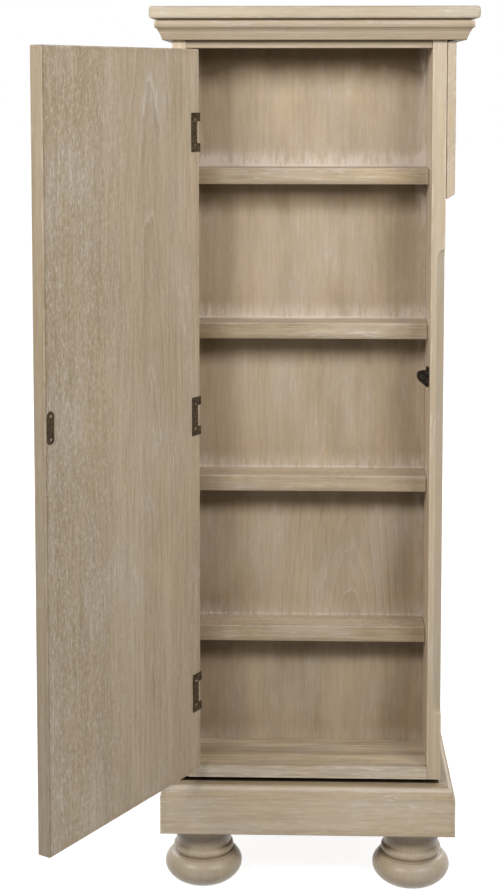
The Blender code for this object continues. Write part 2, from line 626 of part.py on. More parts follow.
def build_hinge_door_leaf(name, level, parent):
    """Leaf that wraps the door's edge, with the outer knuckles and a C-shaped tab on the inner face."""
    half = HINGE_HEIGHT / 2
    ear = half - HINGE_EAR_HEIGHT
    strip_low = DOOR_HINGE_EDGE - SEAT_GAP - HINGE_LEAF_THICKNESS
    strip_high = DOOR_HINGE_EDGE - SEAT_GAP
    tab_near = DOOR_INNER_FACE + SEAT_GAP
    tab_far = tab_near + HINGE_LEAF_THICKNESS
    tab_end = strip_low + HINGE_TAB_WIDTH
    notch = strip_low + HINGE_NOTCH_DEPTH
    tab_outline = [
        (strip_low, -half),
        (tab_end, -half),
        (tab_end, half),
        (strip_low, half),
        (strip_low, ear),
        (notch, ear),
        (notch, -ear),
        (strip_low, -ear),
    ]
    tab = prism_mesh(tab_outline, tab_near, tab_far, axis="Y")
    leaf = new_object(name, tab, BRONZE, parent, (0.0, 0.0, level))
    bore = HINGE_PIN_RADIUS + SEAT_GAP
    for low, high in ((-half, -ear), (ear, half)):
        combine(leaf, box_mesh((strip_low, 0.0, low), (strip_high, tab_far, high)), "UNION")
        combine(leaf, cylinder_mesh(HINGE_BARREL_RADIUS, low, high), "UNION")
    combine(leaf, cylinder_mesh(bore, -HINGE_HEIGHT, HINGE_HEIGHT), "DIFFERENCE")
    shade_round(leaf)


def build_latch(parent):
    """Push latch on the compartment's right wall: a plate, and a body with a roller in its nose."""
    wall = INNER_RIGHT - SEAT_GAP
    plate = wall - LATCH_PLATE
    near = PIN_Y + DOOR_INNER_FACE + SEAT_GAP + STRIKE_THICKNESS + LATCH_PLAY
    half = LATCH_HEIGHT / 2
    body_top = half - LATCH_LUG
    nose = (wall - LATCH_REACH + LATCH_NOSE_RADIUS, body_top - LATCH_NOSE_RADIUS)
    outline = [(wall, half), (plate, half), (plate, body_top)]
    nose_radii = (LATCH_NOSE_RADIUS, LATCH_NOSE_RADIUS)
    outline += arc_points(nose, nose_radii, 90.0, LATCH_NOSE_END_DEGREES, LATCH_STEPS)
    outline += [(plate, -half), (wall, -half)]
    body = prism_mesh(outline, near, near + LATCH_DEPTH, axis="Y")
    latch = new_object("push_latch", body, BRONZE, parent, (0.0, 0.0, LATCH_LEVEL))
    pocket_end = near + LATCH_POCKET_DEPTH
    pocket = cylinder_mesh(LATCH_POCKET_RADIUS, near - LATCH_DEPTH, pocket_end, nose, axis="Y")
    combine(latch, pocket, "DIFFERENCE")
    roller_end = (pocket_end + near + LATCH_DEPTH) / 2
    combine(latch, cylinder_mesh(LATCH_ROLLER_RADIUS, near + SEAT_GAP, roller_end, nose, axis="Y"), "UNION")
    shade_round(latch)


def build_door(parent):
    """Inset slab door, its wrap-around hinge leaves and the latch's strike."""
    low = (DOOR_HINGE_EDGE, DOOR_OUTER_FACE, DOOR_BOTTOM)
    high = (DOOR_FREE_EDGE, DOOR_INNER_FACE, DOOR_TOP)
    board("door_panel", low, high, DOOR_WOOD, parent, ease=DOOR_EASE, segments=2)
    for place, level in hinge_levels():
        build_hinge_door_leaf("hinge_door_leaf_" + place, level, parent)
    radius = STRIKE_WIDTH / 2
    straight = STRIKE_HEIGHT / 2 - radius
    middle = DOOR_FREE_EDGE - STRIKE_INSET
    outline = arc_points((middle, straight), (radius, radius), 0.0, 180.0, STRIKE_STEPS)
    outline += arc_points((middle, -straight), (radius, radius), 180.0, 360.0, STRIKE_STEPS)
    near = DOOR_INNER_FACE + SEAT_GAP
    strike = prism_mesh(outline, near, near + STRIKE_THICKNESS, axis="Y")
    new_object("latch_strike", strike, BRONZE, parent, (0.0, 0.0, STRIKE_LEVEL))


def knob_profile():
    """Half section of a turned knob, from its front to the rose against the drawer."""
    head_middle = KNOB_PROJECTION - KNOB_HEAD_HALF
    points = [(0.0, KNOB_PROJECTION)]
    head = (KNOB_RADIUS, KNOB_HEAD_HALF)
    points += arc_points((0.0, head_middle), head, KNOB_FRONT_DEGREES, KNOB_BACK_DEGREES, KNOB_STEPS)
    points.append((KNOB_STEM_RADIUS, (head_middle + KNOB_ROSE_HEIGHT) / 2))
    points.append((KNOB_STEM_RADIUS, KNOB_ROSE_HEIGHT))
    points += [(KNOB_ROSE_RADIUS, KNOB_ROSE_HEIGHT), (KNOB_ROSE_RADIUS, 0.0), (0.0, 0.0)]
    return points


def drawer_box(name, x_front, low, high, parent, origin):
    """Open-topped drawer box between two levels, as a block with its hollow cut out."""
    y_low = DRAWER_SPACE_FRONT + BOX_SIDE_PLAY
    y_high = DRAWER_SPACE_BACK - BOX_SIDE_PLAY
    x_back = INNER_LEFT + BOX_REAR_PLAY
    block = box_mesh((x_back, y_low, low - origin), (x_front, y_high, high - origin))
    obj = new_object(name, block, RAW_WOOD, parent)
    hollow_low = (x_back + BOX_WALL, y_low + BOX_WALL, low - origin + BOX_BOTTOM)
    hollow_high = (x_front - BOX_WALL, y_high - BOX_WALL, high - origin + BOX_WALL)
    combine(obj, box_mesh(hollow_low, hollow_high), "DIFFERENCE")


def build_drawers(parent):
    """Frieze drawer, the inset drawers under it and the dust panels that carry them."""
    pitch = (FRIEZE_BOTTOM - FLOOR_TOP - FRONT_GAP) / LOWER_DRAWERS
    front_bottoms = [FLOOR_TOP + FRONT_GAP + i * pitch for i in range(LOWER_DRAWERS)]
    front_bottoms.append(FRIEZE_BOTTOM)
    carriers = [FLOOR_TOP]
    carriers += [bottom + FRONT_LAP for bottom in front_bottoms[1:]]
    ceilings = [level - DUST_PANEL_THICKNESS for level in carriers[1:]]
    ceilings.append(OPENING_TOP)
    for i in range(LOWER_DRAWERS + 1):
        number = str(LOWER_DRAWERS + 1 - i)
        name = "drawer_" + number
        slide = axis_empty(name + "_slide", parent, (0.0, 0.0, carriers[i]))
        if i > 0:
            panel_low = (INNER_LEFT + SEAT_GAP, DRAWER_SPACE_FRONT, carriers[i] - DUST_PANEL_THICKNESS)
            panel_high = (WALL_OUTER, DRAWER_SPACE_BACK, carriers[i])
            board("dust_panel_" + number, panel_low, panel_high, RAW_WOOD, parent, ease=0.0)
        box_low = carriers[i] + SEAT_GAP
        box_high = ceilings[i] - BOX_HEADROOM
        if i == LOWER_DRAWERS:
            back_face = CASE_RIGHT + FRIEZE_SEAM
            section = [
                (back_face, FRIEZE_BOTTOM - carriers[i]),
                (FRIEZE_FACE, FRIEZE_BOTTOM + FRIEZE_BEVEL_RISE - carriers[i]),
                (FRIEZE_FACE, FRIEZE_TOP - carriers[i]),
                (back_face, FRIEZE_TOP - carriers[i]),
            ]
            block = prism_mesh(section, CASE_FRONT, CASE_BACK, axis="Y")
            ease_edges(new_object(name + "_front", block, PALE_WOOD, slide), WOOD_EASE)
        else:
            back_face = FRONT_INNER
            low = (back_face, INNER_FRONT + DOOR_GAP, front_bottoms[i] - carriers[i])
            high = (CASE_RIGHT, INNER_BACK - DOOR_GAP, front_bottoms[i] + pitch - FRONT_GAP - carriers[i])
            board(name + "_front", low, high, PALE_WOOD, slide)
            turned = turned_mesh(knob_profile(), SMALL_ROUND_SEGMENTS)
            seat = (CASE_RIGHT + SEAT_GAP, 0.0, (low[2] + high[2]) / 2)
            knob = new_object(name + "_knob", turned, BRONZE, slide, seat)
            knob.rotation_euler = (0.0, math.pi / 2, 0.0)
            shade_round(knob)
        drawer_box(name + "_box", back_face - SEAT_GAP, box_low, box_high, slide, carriers[i])


def build_chest():
    remove_everything()
    base = axis_empty("base", None, (0.0, 0.0, 0.0))
    build_base(base)
    swivel = axis_empty("swivel_axis", base, (0.0, 0.0, 0.0))
    build_case(swivel)
    build_cornice(swivel)
    build_latch(swivel)
    for place, level in hinge_levels():
        build_hinge_frame_leaf("hinge_frame_leaf_" + place, level, swivel)
    build_drawers(swivel)
    door_axis = axis_empty("door_axis", swivel, (PIN_X, PIN_Y, 0.0), -math.radians(DOOR_OPEN_DEGREES))
    build_door(door_axis)


build_chest()
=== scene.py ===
# %% [markdown]
# # A swivel chest in limed wood
# The solids of the chest come from the CAD frame, already in place and in metres. This lesson dresses them:
# it turns smooth bun feet and knobs, drives the screws of the hinges, gives every board a limed grain that
# runs the way the board was cut, and then sets the floor, the light and the camera.

# %% Load the frame
import json
import math

import bpy
from mathutils import Matrix, Vector


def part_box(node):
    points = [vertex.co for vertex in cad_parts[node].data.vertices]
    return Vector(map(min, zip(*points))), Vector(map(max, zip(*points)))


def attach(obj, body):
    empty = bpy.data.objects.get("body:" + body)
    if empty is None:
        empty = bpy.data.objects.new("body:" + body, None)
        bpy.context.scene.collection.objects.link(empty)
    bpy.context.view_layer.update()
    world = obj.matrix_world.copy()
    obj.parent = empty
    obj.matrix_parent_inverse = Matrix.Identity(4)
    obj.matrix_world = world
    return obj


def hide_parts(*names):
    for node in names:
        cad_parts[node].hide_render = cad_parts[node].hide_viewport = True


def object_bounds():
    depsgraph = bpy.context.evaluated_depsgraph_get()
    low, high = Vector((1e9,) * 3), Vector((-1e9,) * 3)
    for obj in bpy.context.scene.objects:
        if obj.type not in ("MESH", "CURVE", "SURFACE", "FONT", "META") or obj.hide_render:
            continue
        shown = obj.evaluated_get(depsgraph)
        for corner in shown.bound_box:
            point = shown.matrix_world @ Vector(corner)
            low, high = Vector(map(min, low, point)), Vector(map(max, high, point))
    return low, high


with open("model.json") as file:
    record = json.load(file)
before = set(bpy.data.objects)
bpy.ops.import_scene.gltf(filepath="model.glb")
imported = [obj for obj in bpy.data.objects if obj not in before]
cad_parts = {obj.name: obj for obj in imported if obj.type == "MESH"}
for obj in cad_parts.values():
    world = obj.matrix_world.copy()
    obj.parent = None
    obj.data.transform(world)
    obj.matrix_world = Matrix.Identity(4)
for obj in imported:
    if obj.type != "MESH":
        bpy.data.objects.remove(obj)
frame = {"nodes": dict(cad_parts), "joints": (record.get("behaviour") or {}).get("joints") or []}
cad_low, cad_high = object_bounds()
nodes = frame["nodes"]
print("CAD nodes:", len(nodes), "box:", [round(v, 4) for v in (*cad_low, *cad_high)])


# %% [markdown]
# ## Turned bun feet
# A bun foot is cut on a lathe: a straight rim and a hollow neck under the plinth, a half-round collar, a flat
# ring and then the fat bun. The lathe is imitated by hand here. A filled circle is the pad on the floor, and
# it is extruded upwards ring by ring, with each new ring scaled to the radius of the profile at its height.
# The curves of the profile are pieces of ellipses, so more rings only make them smoother.

# %% A lathe made of extrude and scale
def clear_selection():
    """Leave edit mode and deselect everything, so that an operator acts only on what is added next."""
    if bpy.context.object and bpy.context.object.mode != "OBJECT":
        bpy.ops.object.mode_set(mode="OBJECT")
    bpy.ops.object.select_all(action="DESELECT")


def turn_on_lathe(name, profile, centre, sides):
    """Solid turned about Z; profile holds (radius, height) pairs from the bottom up."""
    clear_selection()
    radius, height = profile[0]
    place = (centre[0], centre[1], centre[2] + height)
    bpy.ops.mesh.primitive_circle_add(vertices=sides, radius=radius, fill_type="NGON", location=place)
    piece = bpy.context.object
    piece.name = piece.data.name = name
    bpy.ops.object.transform_apply(location=True, rotation=True, scale=True)
    bpy.ops.object.mode_set(mode="EDIT")
    bpy.ops.mesh.select_all(action="SELECT")
    for next_radius, next_height in profile[1:]:
        rise = next_height - height
        bpy.ops.mesh.extrude_region_move(TRANSFORM_OT_translate={"value": (0.0, 0.0, rise)})
        grow = next_radius / radius
        pivot = (centre[0], centre[1], centre[2] + next_height)
        bpy.ops.transform.resize(value=(grow, grow, 1.0), center_override=pivot)
        radius, height = next_radius, next_height
    bpy.ops.mesh.select_all(action="SELECT")
    bpy.ops.mesh.normals_make_consistent(inside=False)
    bpy.ops.object.mode_set(mode="OBJECT")
    return piece


def smooth_by_angle(piece, degrees):
    """Shade a piece smooth, but keep edges sharper than the angle."""
    clear_selection()
    piece.select_set(True)
    bpy.context.view_layer.objects.active = piece
    bpy.ops.object.shade_smooth_by_angle(angle=math.radians(degrees))


def copy_of(piece, name, place):
    """Copy with its own mesh, set in place; the object itself stays at the origin."""
    twin = bpy.data.objects.new(name, piece.data.copy())
    twin.data.name = name
    twin.data.transform(place)
    bpy.context.scene.collection.objects.link(twin)
    return twin


def curve_run(core, reach, half_height, middle, start, end, steps):
    """Points of an ellipse from one angle to another; core is the radius where its centre lies."""
    points = []
    for i in range(steps + 1):
        angle = math.radians(start + (end - start) * i / steps)
        points.append((core + reach * math.cos(angle), middle + half_height * math.sin(angle)))
    return points


# %% The foot's profile
EQUATOR = 0.025
PAD_RADIUS = 0.0445
SHOULDER_RADIUS = 0.0515
BUN_TOP = 0.0440
RING_RADIUS = 0.0499
RING_TOP = 0.0462
COLLAR_RADIUS = 0.0490
COLLAR_TOP = 0.0595
WAIST_RADIUS = 0.0442
WAIST_HEIGHT = 0.0625
HOLLOW_HALF = 0.0040
NECK_RADIUS = 0.0479
NECK_RIM = 0.0205
CORNER_ROUND = 0.0006
EDGE_EASE = 0.0004
FOOT_SIDES = 80
FOOT_ARRIS = 42.0

foot_low, foot_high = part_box("bun_foot_front_left")
foot_radius = (foot_high.x - foot_low.x) / 2
foot_top = foot_high.z
pad_angle = math.degrees(math.acos(PAD_RADIUS / foot_radius))
shoulder_angle = math.degrees(math.acos(SHOULDER_RADIUS / foot_radius))
under_half = EQUATOR / math.sin(math.radians(pad_angle))
over_half = (BUN_TOP - EQUATOR) / math.sin(math.radians(shoulder_angle))
collar_reach = COLLAR_RADIUS - WAIST_RADIUS
collar_half = (COLLAR_TOP - RING_TOP) / 2
neck_reach = NECK_RADIUS - WAIST_RADIUS
rim_low = foot_top - NECK_RIM
foot_profile = curve_run(0.0, foot_radius, under_half, EQUATOR, -pad_angle, 0.0, 14)
foot_profile += curve_run(0.0, foot_radius, over_half, EQUATOR, 0.0, shoulder_angle, 10)[1:]
foot_profile += [(RING_RADIUS + CORNER_ROUND, BUN_TOP + EDGE_EASE / 2)]
foot_profile += [(RING_RADIUS, BUN_TOP + CORNER_ROUND)]
foot_profile += [(RING_RADIUS, RING_TOP - EDGE_EASE), (RING_RADIUS - EDGE_EASE, RING_TOP)]
foot_profile += curve_run(WAIST_RADIUS, collar_reach, collar_half, RING_TOP + collar_half, -60, 60, 12)
foot_profile += curve_run(NECK_RADIUS, neck_reach, HOLLOW_HALF, WAIST_HEIGHT, 235, 185, 6)
foot_profile += curve_run(NECK_RADIUS, neck_reach, rim_low - WAIST_HEIGHT, WAIST_HEIGHT, 180, 92, 9)
foot_profile += [(NECK_RADIUS, rim_low + EDGE_EASE), (NECK_RADIUS, foot_top)]
print("Foot profile rings:", len(foot_profile), "height:", round(foot_profile[-1][1], 4))

# %% Turn one foot and copy it to the four corners
foot_names = ["bun_foot_front_left", "bun_foot_front_right", "bun_foot_back_left", "bun_foot_back_right"]
first_centre = (foot_low + foot_high) / 2
foot_axis = (first_centre.x, first_centre.y, 0.0)
turned_foot = turn_on_lathe("foot_front_left", foot_profile, foot_axis, FOOT_SIDES)
feet = [turned_foot]
for node_name in foot_names[1:]:
    low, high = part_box(node_name)
    step_to_corner = Matrix.Translation((low + high) / 2 - first_centre)
    feet.append(copy_of(turned_foot, node_name.replace("bun_", ""), step_to_corner))
for foot, node_name in zip(feet, foot_names):
    smooth_by_angle(foot, FOOT_ARRIS)
    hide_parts(node_name)
    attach(foot, "base")
print("Feet turned:", [foot.name for foot in feet], "faces each:", len(turned_foot.data.polygons))

# %% [markdown]
# ## Drawer knobs
# The four lower drawers carry low bronze knobs on a small rose. A knob is turned the same way as a foot,
# standing up, then laid over so that it points out of the drawer side, and copied to each drawer.

# %% Turn one knob, lay it over and copy it
knob_names = ["drawer_2_knob", "drawer_3_knob", "drawer_4_knob", "drawer_5_knob"]
low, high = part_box(knob_names[0])
knob_reach = high.x - low.x
head_radius = (high.z - low.z) / 2
HEAD_HALF = 0.0044
HEAD_ROOM = 0.0001
KNOB_SIDES = 40
KNOB_ARRIS = 45.0
ROSE = [(0.0105, 0.0), (0.0108, 0.0006), (0.0108, 0.0016), (0.0100, 0.0021), (0.0078, 0.0024)]
STEM = [(0.0066, 0.0034), (0.0064, 0.0048), (0.0070, 0.0061), (0.0085, 0.0067)]
head = curve_run(0.0, head_radius - HEAD_ROOM, HEAD_HALF, knob_reach - HEAD_HALF, -50.0, 84.0, 16)
knob_pattern = turn_on_lathe("knob_pattern", ROSE + STEM + head, (0.0, 0.0, 0.0), KNOB_SIDES)
lay_over = Matrix.Rotation(math.pi / 2, 4, "Y")
knobs = []
for node_name in knob_names:
    low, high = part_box(node_name)
    seat = Matrix.Translation((low.x, (low.y + high.y) / 2, (low.z + high.z) / 2))
    drawer = node_name.replace("_knob", "")
    knob = copy_of(knob_pattern, "knob_on_" + drawer, seat @ lay_over)
    smooth_by_angle(knob, KNOB_ARRIS)
    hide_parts(node_name)
    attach(knob, drawer)
    knobs.append(knob)
bpy.data.objects.remove(knob_pattern)
print("Knobs made:", [knob.name for knob in knobs], "reach:", round(knob_reach, 4))

# %% [markdown]
# ## Screws
# Each hinge leaf on the door has two round-headed screws, and the strike has two flush ones, because the
# latch passes close over it. A head is a short cylinder whose upper rim is bevelled into a dome, with a slot
# cut across it by a Boolean. It is copied to every hole, and each copy is turned a little differently, as
# screws are when they are driven by hand.

# %% A slotted screw head
SCREW_RADIUS = 0.0023
SCREW_SIDES = 24
SCREW_ARRIS = 35.0
ROUND_HEAD_RISE = 0.0011
FLUSH_HEAD_RISE = 0.0004
SLOT_WIDTH = SCREW_RADIUS * 0.3
DOME_SHARE = 0.8
DOME_STEPS = 4


def slotted_screw(name, rise):
    """Domed screw head standing on Z = 0, with a slot along X."""
    clear_selection()
    bpy.ops.mesh.primitive_cylinder_add(
        vertices=SCREW_SIDES, radius=SCREW_RADIUS, depth=rise, location=(0, 0, rise / 2)
    )
    head = bpy.context.object
    head.name = name
    bpy.ops.object.transform_apply(location=True, rotation=True, scale=True)
    for part in (head.data.vertices, head.data.edges, head.data.polygons):
        for element in part:
            element.select = False
    for edge in head.data.edges:
        edge.select = all(head.data.vertices[v].co.z > rise / 2 for v in edge.vertices)
    bpy.ops.object.mode_set(mode="EDIT")
    bpy.ops.mesh.select_mode(type="EDGE")
    bpy.ops.mesh.bevel(offset=rise * DOME_SHARE, segments=DOME_STEPS, profile=0.5)
    bpy.ops.object.mode_set(mode="OBJECT")
    clear_selection()
    bpy.ops.mesh.primitive_cube_add(size=1.0, location=(0, 0, rise))
    saw_cut = bpy.context.object
    saw_cut.scale = (SCREW_RADIUS * 3, SLOT_WIDTH, rise)
    bpy.ops.object.transform_apply(location=True, rotation=True, scale=True)
    clear_selection()
    head.select_set(True)
    bpy.context.view_layer.objects.active = head
    slot = head.modifiers.new("slot", "BOOLEAN")
    slot.operation = "DIFFERENCE"
    slot.solver = "EXACT"
    slot.object = saw_cut
    bpy.ops.object.modifier_apply(modifier=slot.name)
    bpy.data.objects.remove(saw_cut)
    return head


round_head = slotted_screw("round_head", ROUND_HEAD_RISE)
flush_head = slotted_screw("flush_head", FLUSH_HEAD_RISE)
print("Screw head faces:", len(round_head.data.polygons), len(flush_head.data.polygons))

# %% Where the door hangs
# The door stands open in the frame, so its own directions are turned about the hinge pin.
hinge_joint = [joint for joint in frame["joints"] if joint["name"] == "door_hinge"][0]
open_angle = math.radians(hinge_joint["range_deg"][0])
pin = Vector((hinge_joint["pos_m"][0], hinge_joint["pos_m"][1], 0.0))
door_turn = Matrix.Translation(pin) @ Matrix.Rotation(open_angle, 4, "Z")
door_back = door_turn.inverted()
face_out_of_door = Matrix.Rotation(-math.pi / 2, 4, "X")


def door_span(node_name):
    """Lowest and highest corner of a door node in the door's own directions about the pin."""
    spots = [door_back @ vertex.co for vertex in nodes[node_name].data.vertices]
    lows = Vector([min(spot[i] for spot in spots) for i in range(3)])
    highs = Vector([max(spot[i] for spot in spots) for i in range(3)])
    return lows, highs


# %% Drive the screws
HINGE_PLACES = ("top", "middle", "bottom")
HINGE_SCREW_IN = 0.0085
HINGE_SCREW_END = 0.0110
STRIKE_SCREW_END = 0.0072
SUNK = 0.0001
FIRST_TWIST = 0.4
TWIST_STEP = 0.9
screws = []


def drive_screw(head, name, across, face, level):
    """Screw on the door's inner face, at a place in the door's own directions."""
    spot = door_turn @ Matrix.Translation((across, face - SUNK, level)) @ face_out_of_door
    twist = Matrix.Rotation(FIRST_TWIST + TWIST_STEP * len(screws), 4, "Z")
    driven = copy_of(head, name, spot @ twist)
    smooth_by_angle(driven, SCREW_ARRIS)
    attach(driven, "door")
    screws.append(driven)


for place_name in HINGE_PLACES:
    low, high = door_span("hinge_door_leaf_" + place_name)
    for end, level in (("_upper", high.z - HINGE_SCREW_END), ("_lower", low.z + HINGE_SCREW_END)):
        name = "hinge_screw_" + place_name + end
        drive_screw(round_head, name, high.x - HINGE_SCREW_IN, high.y, level)
low, high = door_span("latch_strike")
for end, level in (("_upper", high.z - STRIKE_SCREW_END), ("_lower", low.z + STRIKE_SCREW_END)):
    drive_screw(flush_head, "strike_screw" + end, (low.x + high.x) / 2, high.y, level)
bpy.data.objects.remove(round_head)
bpy.data.objects.remove(flush_head)
print("Screws driven:", len(screws))

# %% [markdown]
# ## Limed grain
# Limed wood is brushed along the grain, stained, and rubbed with white wax, which stays in the open pores.
# So the finish has layers: long streaks of darker fibre, faint arches where the saw cut growth rings at a
# slant, fine pale dashes where wax sits in pores, and clouds of wax that the cloth left. All boards share one
# node group. It takes a position whose Z runs along the grain, X across the face and Y into the board. The
# arches are rings round a heart that leans away from the face, which is how a saw really finds them.

# %% Small helpers for node trees
def put(tree, kind, **settings):
    """Add a node and set its properties."""
    node = tree.nodes.new(kind)
    for key, value in settings.items():
        setattr(node, key, value)
    return node


def feed(tree, socket, operand):
    """Link an output to a socket, or set the socket to a plain value."""
    if isinstance(operand, bpy.types.NodeSocket):
        tree.links.new(operand, socket)
    else:
        socket.default_value = operand


def calc(tree, operation, first, second=0.0, clamp=False):
    """Math node; each operand is a number or an output socket."""
    node = put(tree, "ShaderNodeMath", operation=operation, use_clamp=clamp)
    feed(tree, node.inputs[0], first)
    feed(tree, node.inputs[1], second)
    return node.outputs[0]


def total(tree, *terms):
    """Sum of several outputs, each given with the number or output that weighs it."""
    result = None
    for value, weight in terms:
        weighed = calc(tree, "MULTIPLY", value, weight)
        result = weighed if result is None else calc(tree, "ADD", result, weighed)
    return result


def ease_range(tree, value, low, high, to_low=0.0, to_high=1.0):
    """Smooth step of a value from one range to another."""
    node = put(tree, "ShaderNodeMapRange", interpolation_type="SMOOTHSTEP")
    limits = {"From Min": low, "From Max": high, "To Min": to_low, "To Max": to_high}
    for socket_name, number in limits.items():
        node.inputs[socket_name].default_value = number
    feed(tree, node.inputs["Value"], value)
    return node.outputs["Result"]


def blend_colour(tree, factor, first, second, mode="MIX"):
    """Mix node for colours; each operand is an output or a colour."""
    node = put(tree, "ShaderNodeMix", data_type="RGBA", blend_type=mode)
    for index, operand in ((0, factor), (6, first), (7, second)):
        feed(tree, node.inputs[index], operand)
    return node.outputs[2]


def fibre_noise(tree, vector, cells, detail, roughness=0.55):
    """Noise with a given number of cells per metre on each axis, so it can be drawn out along the grain."""
    scaled = put(tree, "ShaderNodeVectorMath", operation="MULTIPLY")
    scaled.inputs[1].default_value = cells
    feed(tree, scaled.inputs[0], vector)
    noise = put(tree, "ShaderNodeTexNoise", noise_dimensions="3D")
    noise.inputs["Scale"].default_value = 1.0
    noise.inputs["Detail"].default_value = detail
    noise.inputs["Roughness"].default_value = roughness
    feed(tree, noise.inputs["Vector"], scaled.outputs[0])
    return noise.outputs["Fac"]


def noise_layer(tree, vector, cells, detail, roughness, *limits):
    """Drawn-out noise, eased from one range to another."""
    return ease_range(tree, fibre_noise(tree, vector, cells, detail, roughness), *limits)


# %% The sockets of the grain group
grain_group = bpy.data.node_groups.new("limed_grain", "ShaderNodeTree")
GRAIN_COLOURS = ("Wood", "Streak", "Wax", "Bare", "Shade And Soil", "Milk And Light")
RING_AMOUNTS = ("Ring Spacing", "Heart Depth", "Heart Lean", "Arches")
FINISH_AMOUNTS = ("Streaks", "Pores", "Clouds", "Mottle", "Glaze And Light", "Wear", "Rim", "Stain And Shade")
grain_group.interface.new_socket("Position", in_out="INPUT", socket_type="NodeSocketVector")
for socket_name in GRAIN_COLOURS:
    grain_group.interface.new_socket(socket_name, in_out="INPUT", socket_type="NodeSocketColor")
for socket_name in RING_AMOUNTS + FINISH_AMOUNTS:
    grain_group.interface.new_socket(socket_name, in_out="INPUT", socket_type="NodeSocketFloat")
grain_group.interface.new_socket("Colour", in_out="OUTPUT", socket_type="NodeSocketColor")
grain_group.interface.new_socket("Roughness", in_out="OUTPUT", socket_type="NodeSocketFloat")
grain_group.interface.new_socket("Height", in_out="OUTPUT", socket_type="NodeSocketFloat")
enter = put(grain_group, "NodeGroupInput")
leave = put(grain_group, "NodeGroupOutput")
position = enter.outputs["Position"]

# %% Fibres, pores and clouds
# Each layer is a noise drawn out along the grain, from the width of a plank down to that of a pore.
plank_tone = noise_layer(grain_group, position, (6.0, 6.0, 1.5), 3.0, 0.55, 0.3, 0.7, 0.92, 1.07)
wide_streak = noise_layer(grain_group, position, (52.0, 52.0, 1.6), 4.0, 0.65, 0.36, 0.66)
fine_streak = noise_layer(grain_group, position, (230.0, 230.0, 13.0), 4.0, 0.75, 0.38, 0.64)
blotch = noise_layer(grain_group, position, (28.0, 28.0, 9.0), 3.0, 0.6, 0.34, 0.66)
streak = total(grain_group, (wide_streak, 0.32), (fine_streak, 0.46), (blotch, 0.22))
pore = noise_layer(grain_group, position, (330.0, 330.0, 34.0), 3.0, 0.65, 0.54, 0.66)
cloud = noise_layer(grain_group, position, (14.0, 14.0, 4.5), 4.0, 0.6, 0.42, 0.70)
speck = fibre_noise(grain_group, position, (230.0, 230.0, 115.0), 3.0, 0.75)
dark_speck = ease_range(grain_group, speck, 0.53, 0.66)
pale_speck = ease_range(grain_group, speck, 0.47, 0.34)

# %% Arches of the growth rings
axes = put(grain_group, "ShaderNodeSeparateXYZ")
feed(grain_group, axes.inputs[0], position)
sway = calc(grain_group, "SUBTRACT", fibre_noise(grain_group, position, (4.0, 4.0, 2.4), 2.0), 0.5)
across = calc(grain_group, "ADD", axes.outputs["X"], calc(grain_group, "MULTIPLY", sway, 0.05))
leaning = (axes.outputs["Z"], enter.outputs["Heart Lean"])
heart = total(grain_group, leaning, (sway, 0.04), (axes.outputs["Y"], 1.0))
heart = calc(grain_group, "ADD", heart, enter.outputs["Heart Depth"])
narrowed = calc(grain_group, "MULTIPLY", across, 1.6)
ring_radius = calc(grain_group, "SQRT", total(grain_group, (narrowed, narrowed), (heart, heart)))
ragged = fibre_noise(grain_group, position, (70.0, 70.0, 8.0), 3.0, 0.6)
turns = calc(grain_group, "DIVIDE", ring_radius, enter.outputs["Ring Spacing"])
ring = calc(grain_group, "FRACT", calc(grain_group, "ADD", turns, calc(grain_group, "MULTIPLY", ragged, 0.5)))
late_wood = ease_range(grain_group, ring, 0.55, 1.0)
waxed_line = ease_range(grain_group, ring, 0.16, 0.0)
near_heart = ease_range(grain_group, calc(grain_group, "ABSOLUTE", across), 0.17, 0.03)
patchy = noise_layer(grain_group, position, (9.0, 9.0, 2.6), 2.0, 0.55, 0.34, 0.62, 0.30, 1.0)
arch = calc(grain_group, "MULTIPLY", near_heart, patchy)
arch = calc(grain_group, "MULTIPLY", arch, enter.outputs["Arches"])

# %% Colour, roughness and height of the finish
darkness = total(
    grain_group,
    (streak, enter.outputs["Streaks"]),
    (calc(grain_group, "MULTIPLY", late_wood, arch), 0.30),
    (calc(grain_group, "MULTIPLY", dark_speck, enter.outputs["Mottle"]), 0.45),
    (enter.outputs["Mottle"], 0.26),
    (enter.outputs["Rim"], 0.22),
)
darkness = calc(grain_group, "MINIMUM", darkness, 1.0)
wax = total(
    grain_group,
    (calc(grain_group, "MULTIPLY", pore, enter.outputs["Pores"]), calc(grain_group, "ADD", cloud, 0.35)),
    (cloud, enter.outputs["Clouds"]),
    (calc(grain_group, "MULTIPLY", waxed_line, arch), 0.6),
    (calc(grain_group, "MULTIPLY", pale_speck, enter.outputs["Mottle"]), 0.62),
)
wax = calc(grain_group, "MINIMUM", wax, 0.9)
stained = blend_colour(grain_group, darkness, enter.outputs["Wood"], enter.outputs["Streak"])
toned = put(grain_group, "ShaderNodeVectorMath", operation="SCALE")
feed(grain_group, toned.inputs[0], stained)
feed(grain_group, toned.inputs["Scale"], plank_tone)
waxed = blend_colour(grain_group, wax, toned.outputs[0], enter.outputs["Wax"])
wear = calc(grain_group, "MULTIPLY", enter.outputs["Wear"], 0.6)
worn = blend_colour(grain_group, wear, waxed, enter.outputs["Bare"])
# The stain layer darkens towards the dark brown and the glaze layer pales towards the milky white; besides
# real stain and wax they carry painted shade and painted light from the corners and the mouldings.
stained_and_shaded = blend_colour(grain_group, enter.outputs["Stain And Shade"], worn, enter.outputs["Shade And Soil"])
waxed_and_lit = blend_colour(grain_group, enter.outputs["Glaze And Light"], stained_and_shaded, enter.outputs["Milk And Light"])
feed(grain_group, leave.inputs["Colour"], waxed_and_lit)
satin = total(grain_group, (streak, 0.08), (wax, 0.14), (0.44, 1.0))
feed(grain_group, leave.inputs["Roughness"], satin)
raised = calc(grain_group, "MULTIPLY", arch, 0.3)
relief = total(grain_group, (pore, -0.6), (streak, -0.5), (late_wood, raised))
feed(grain_group, leave.inputs["Height"], relief)
print("Grain group nodes:", len(grain_group.nodes))

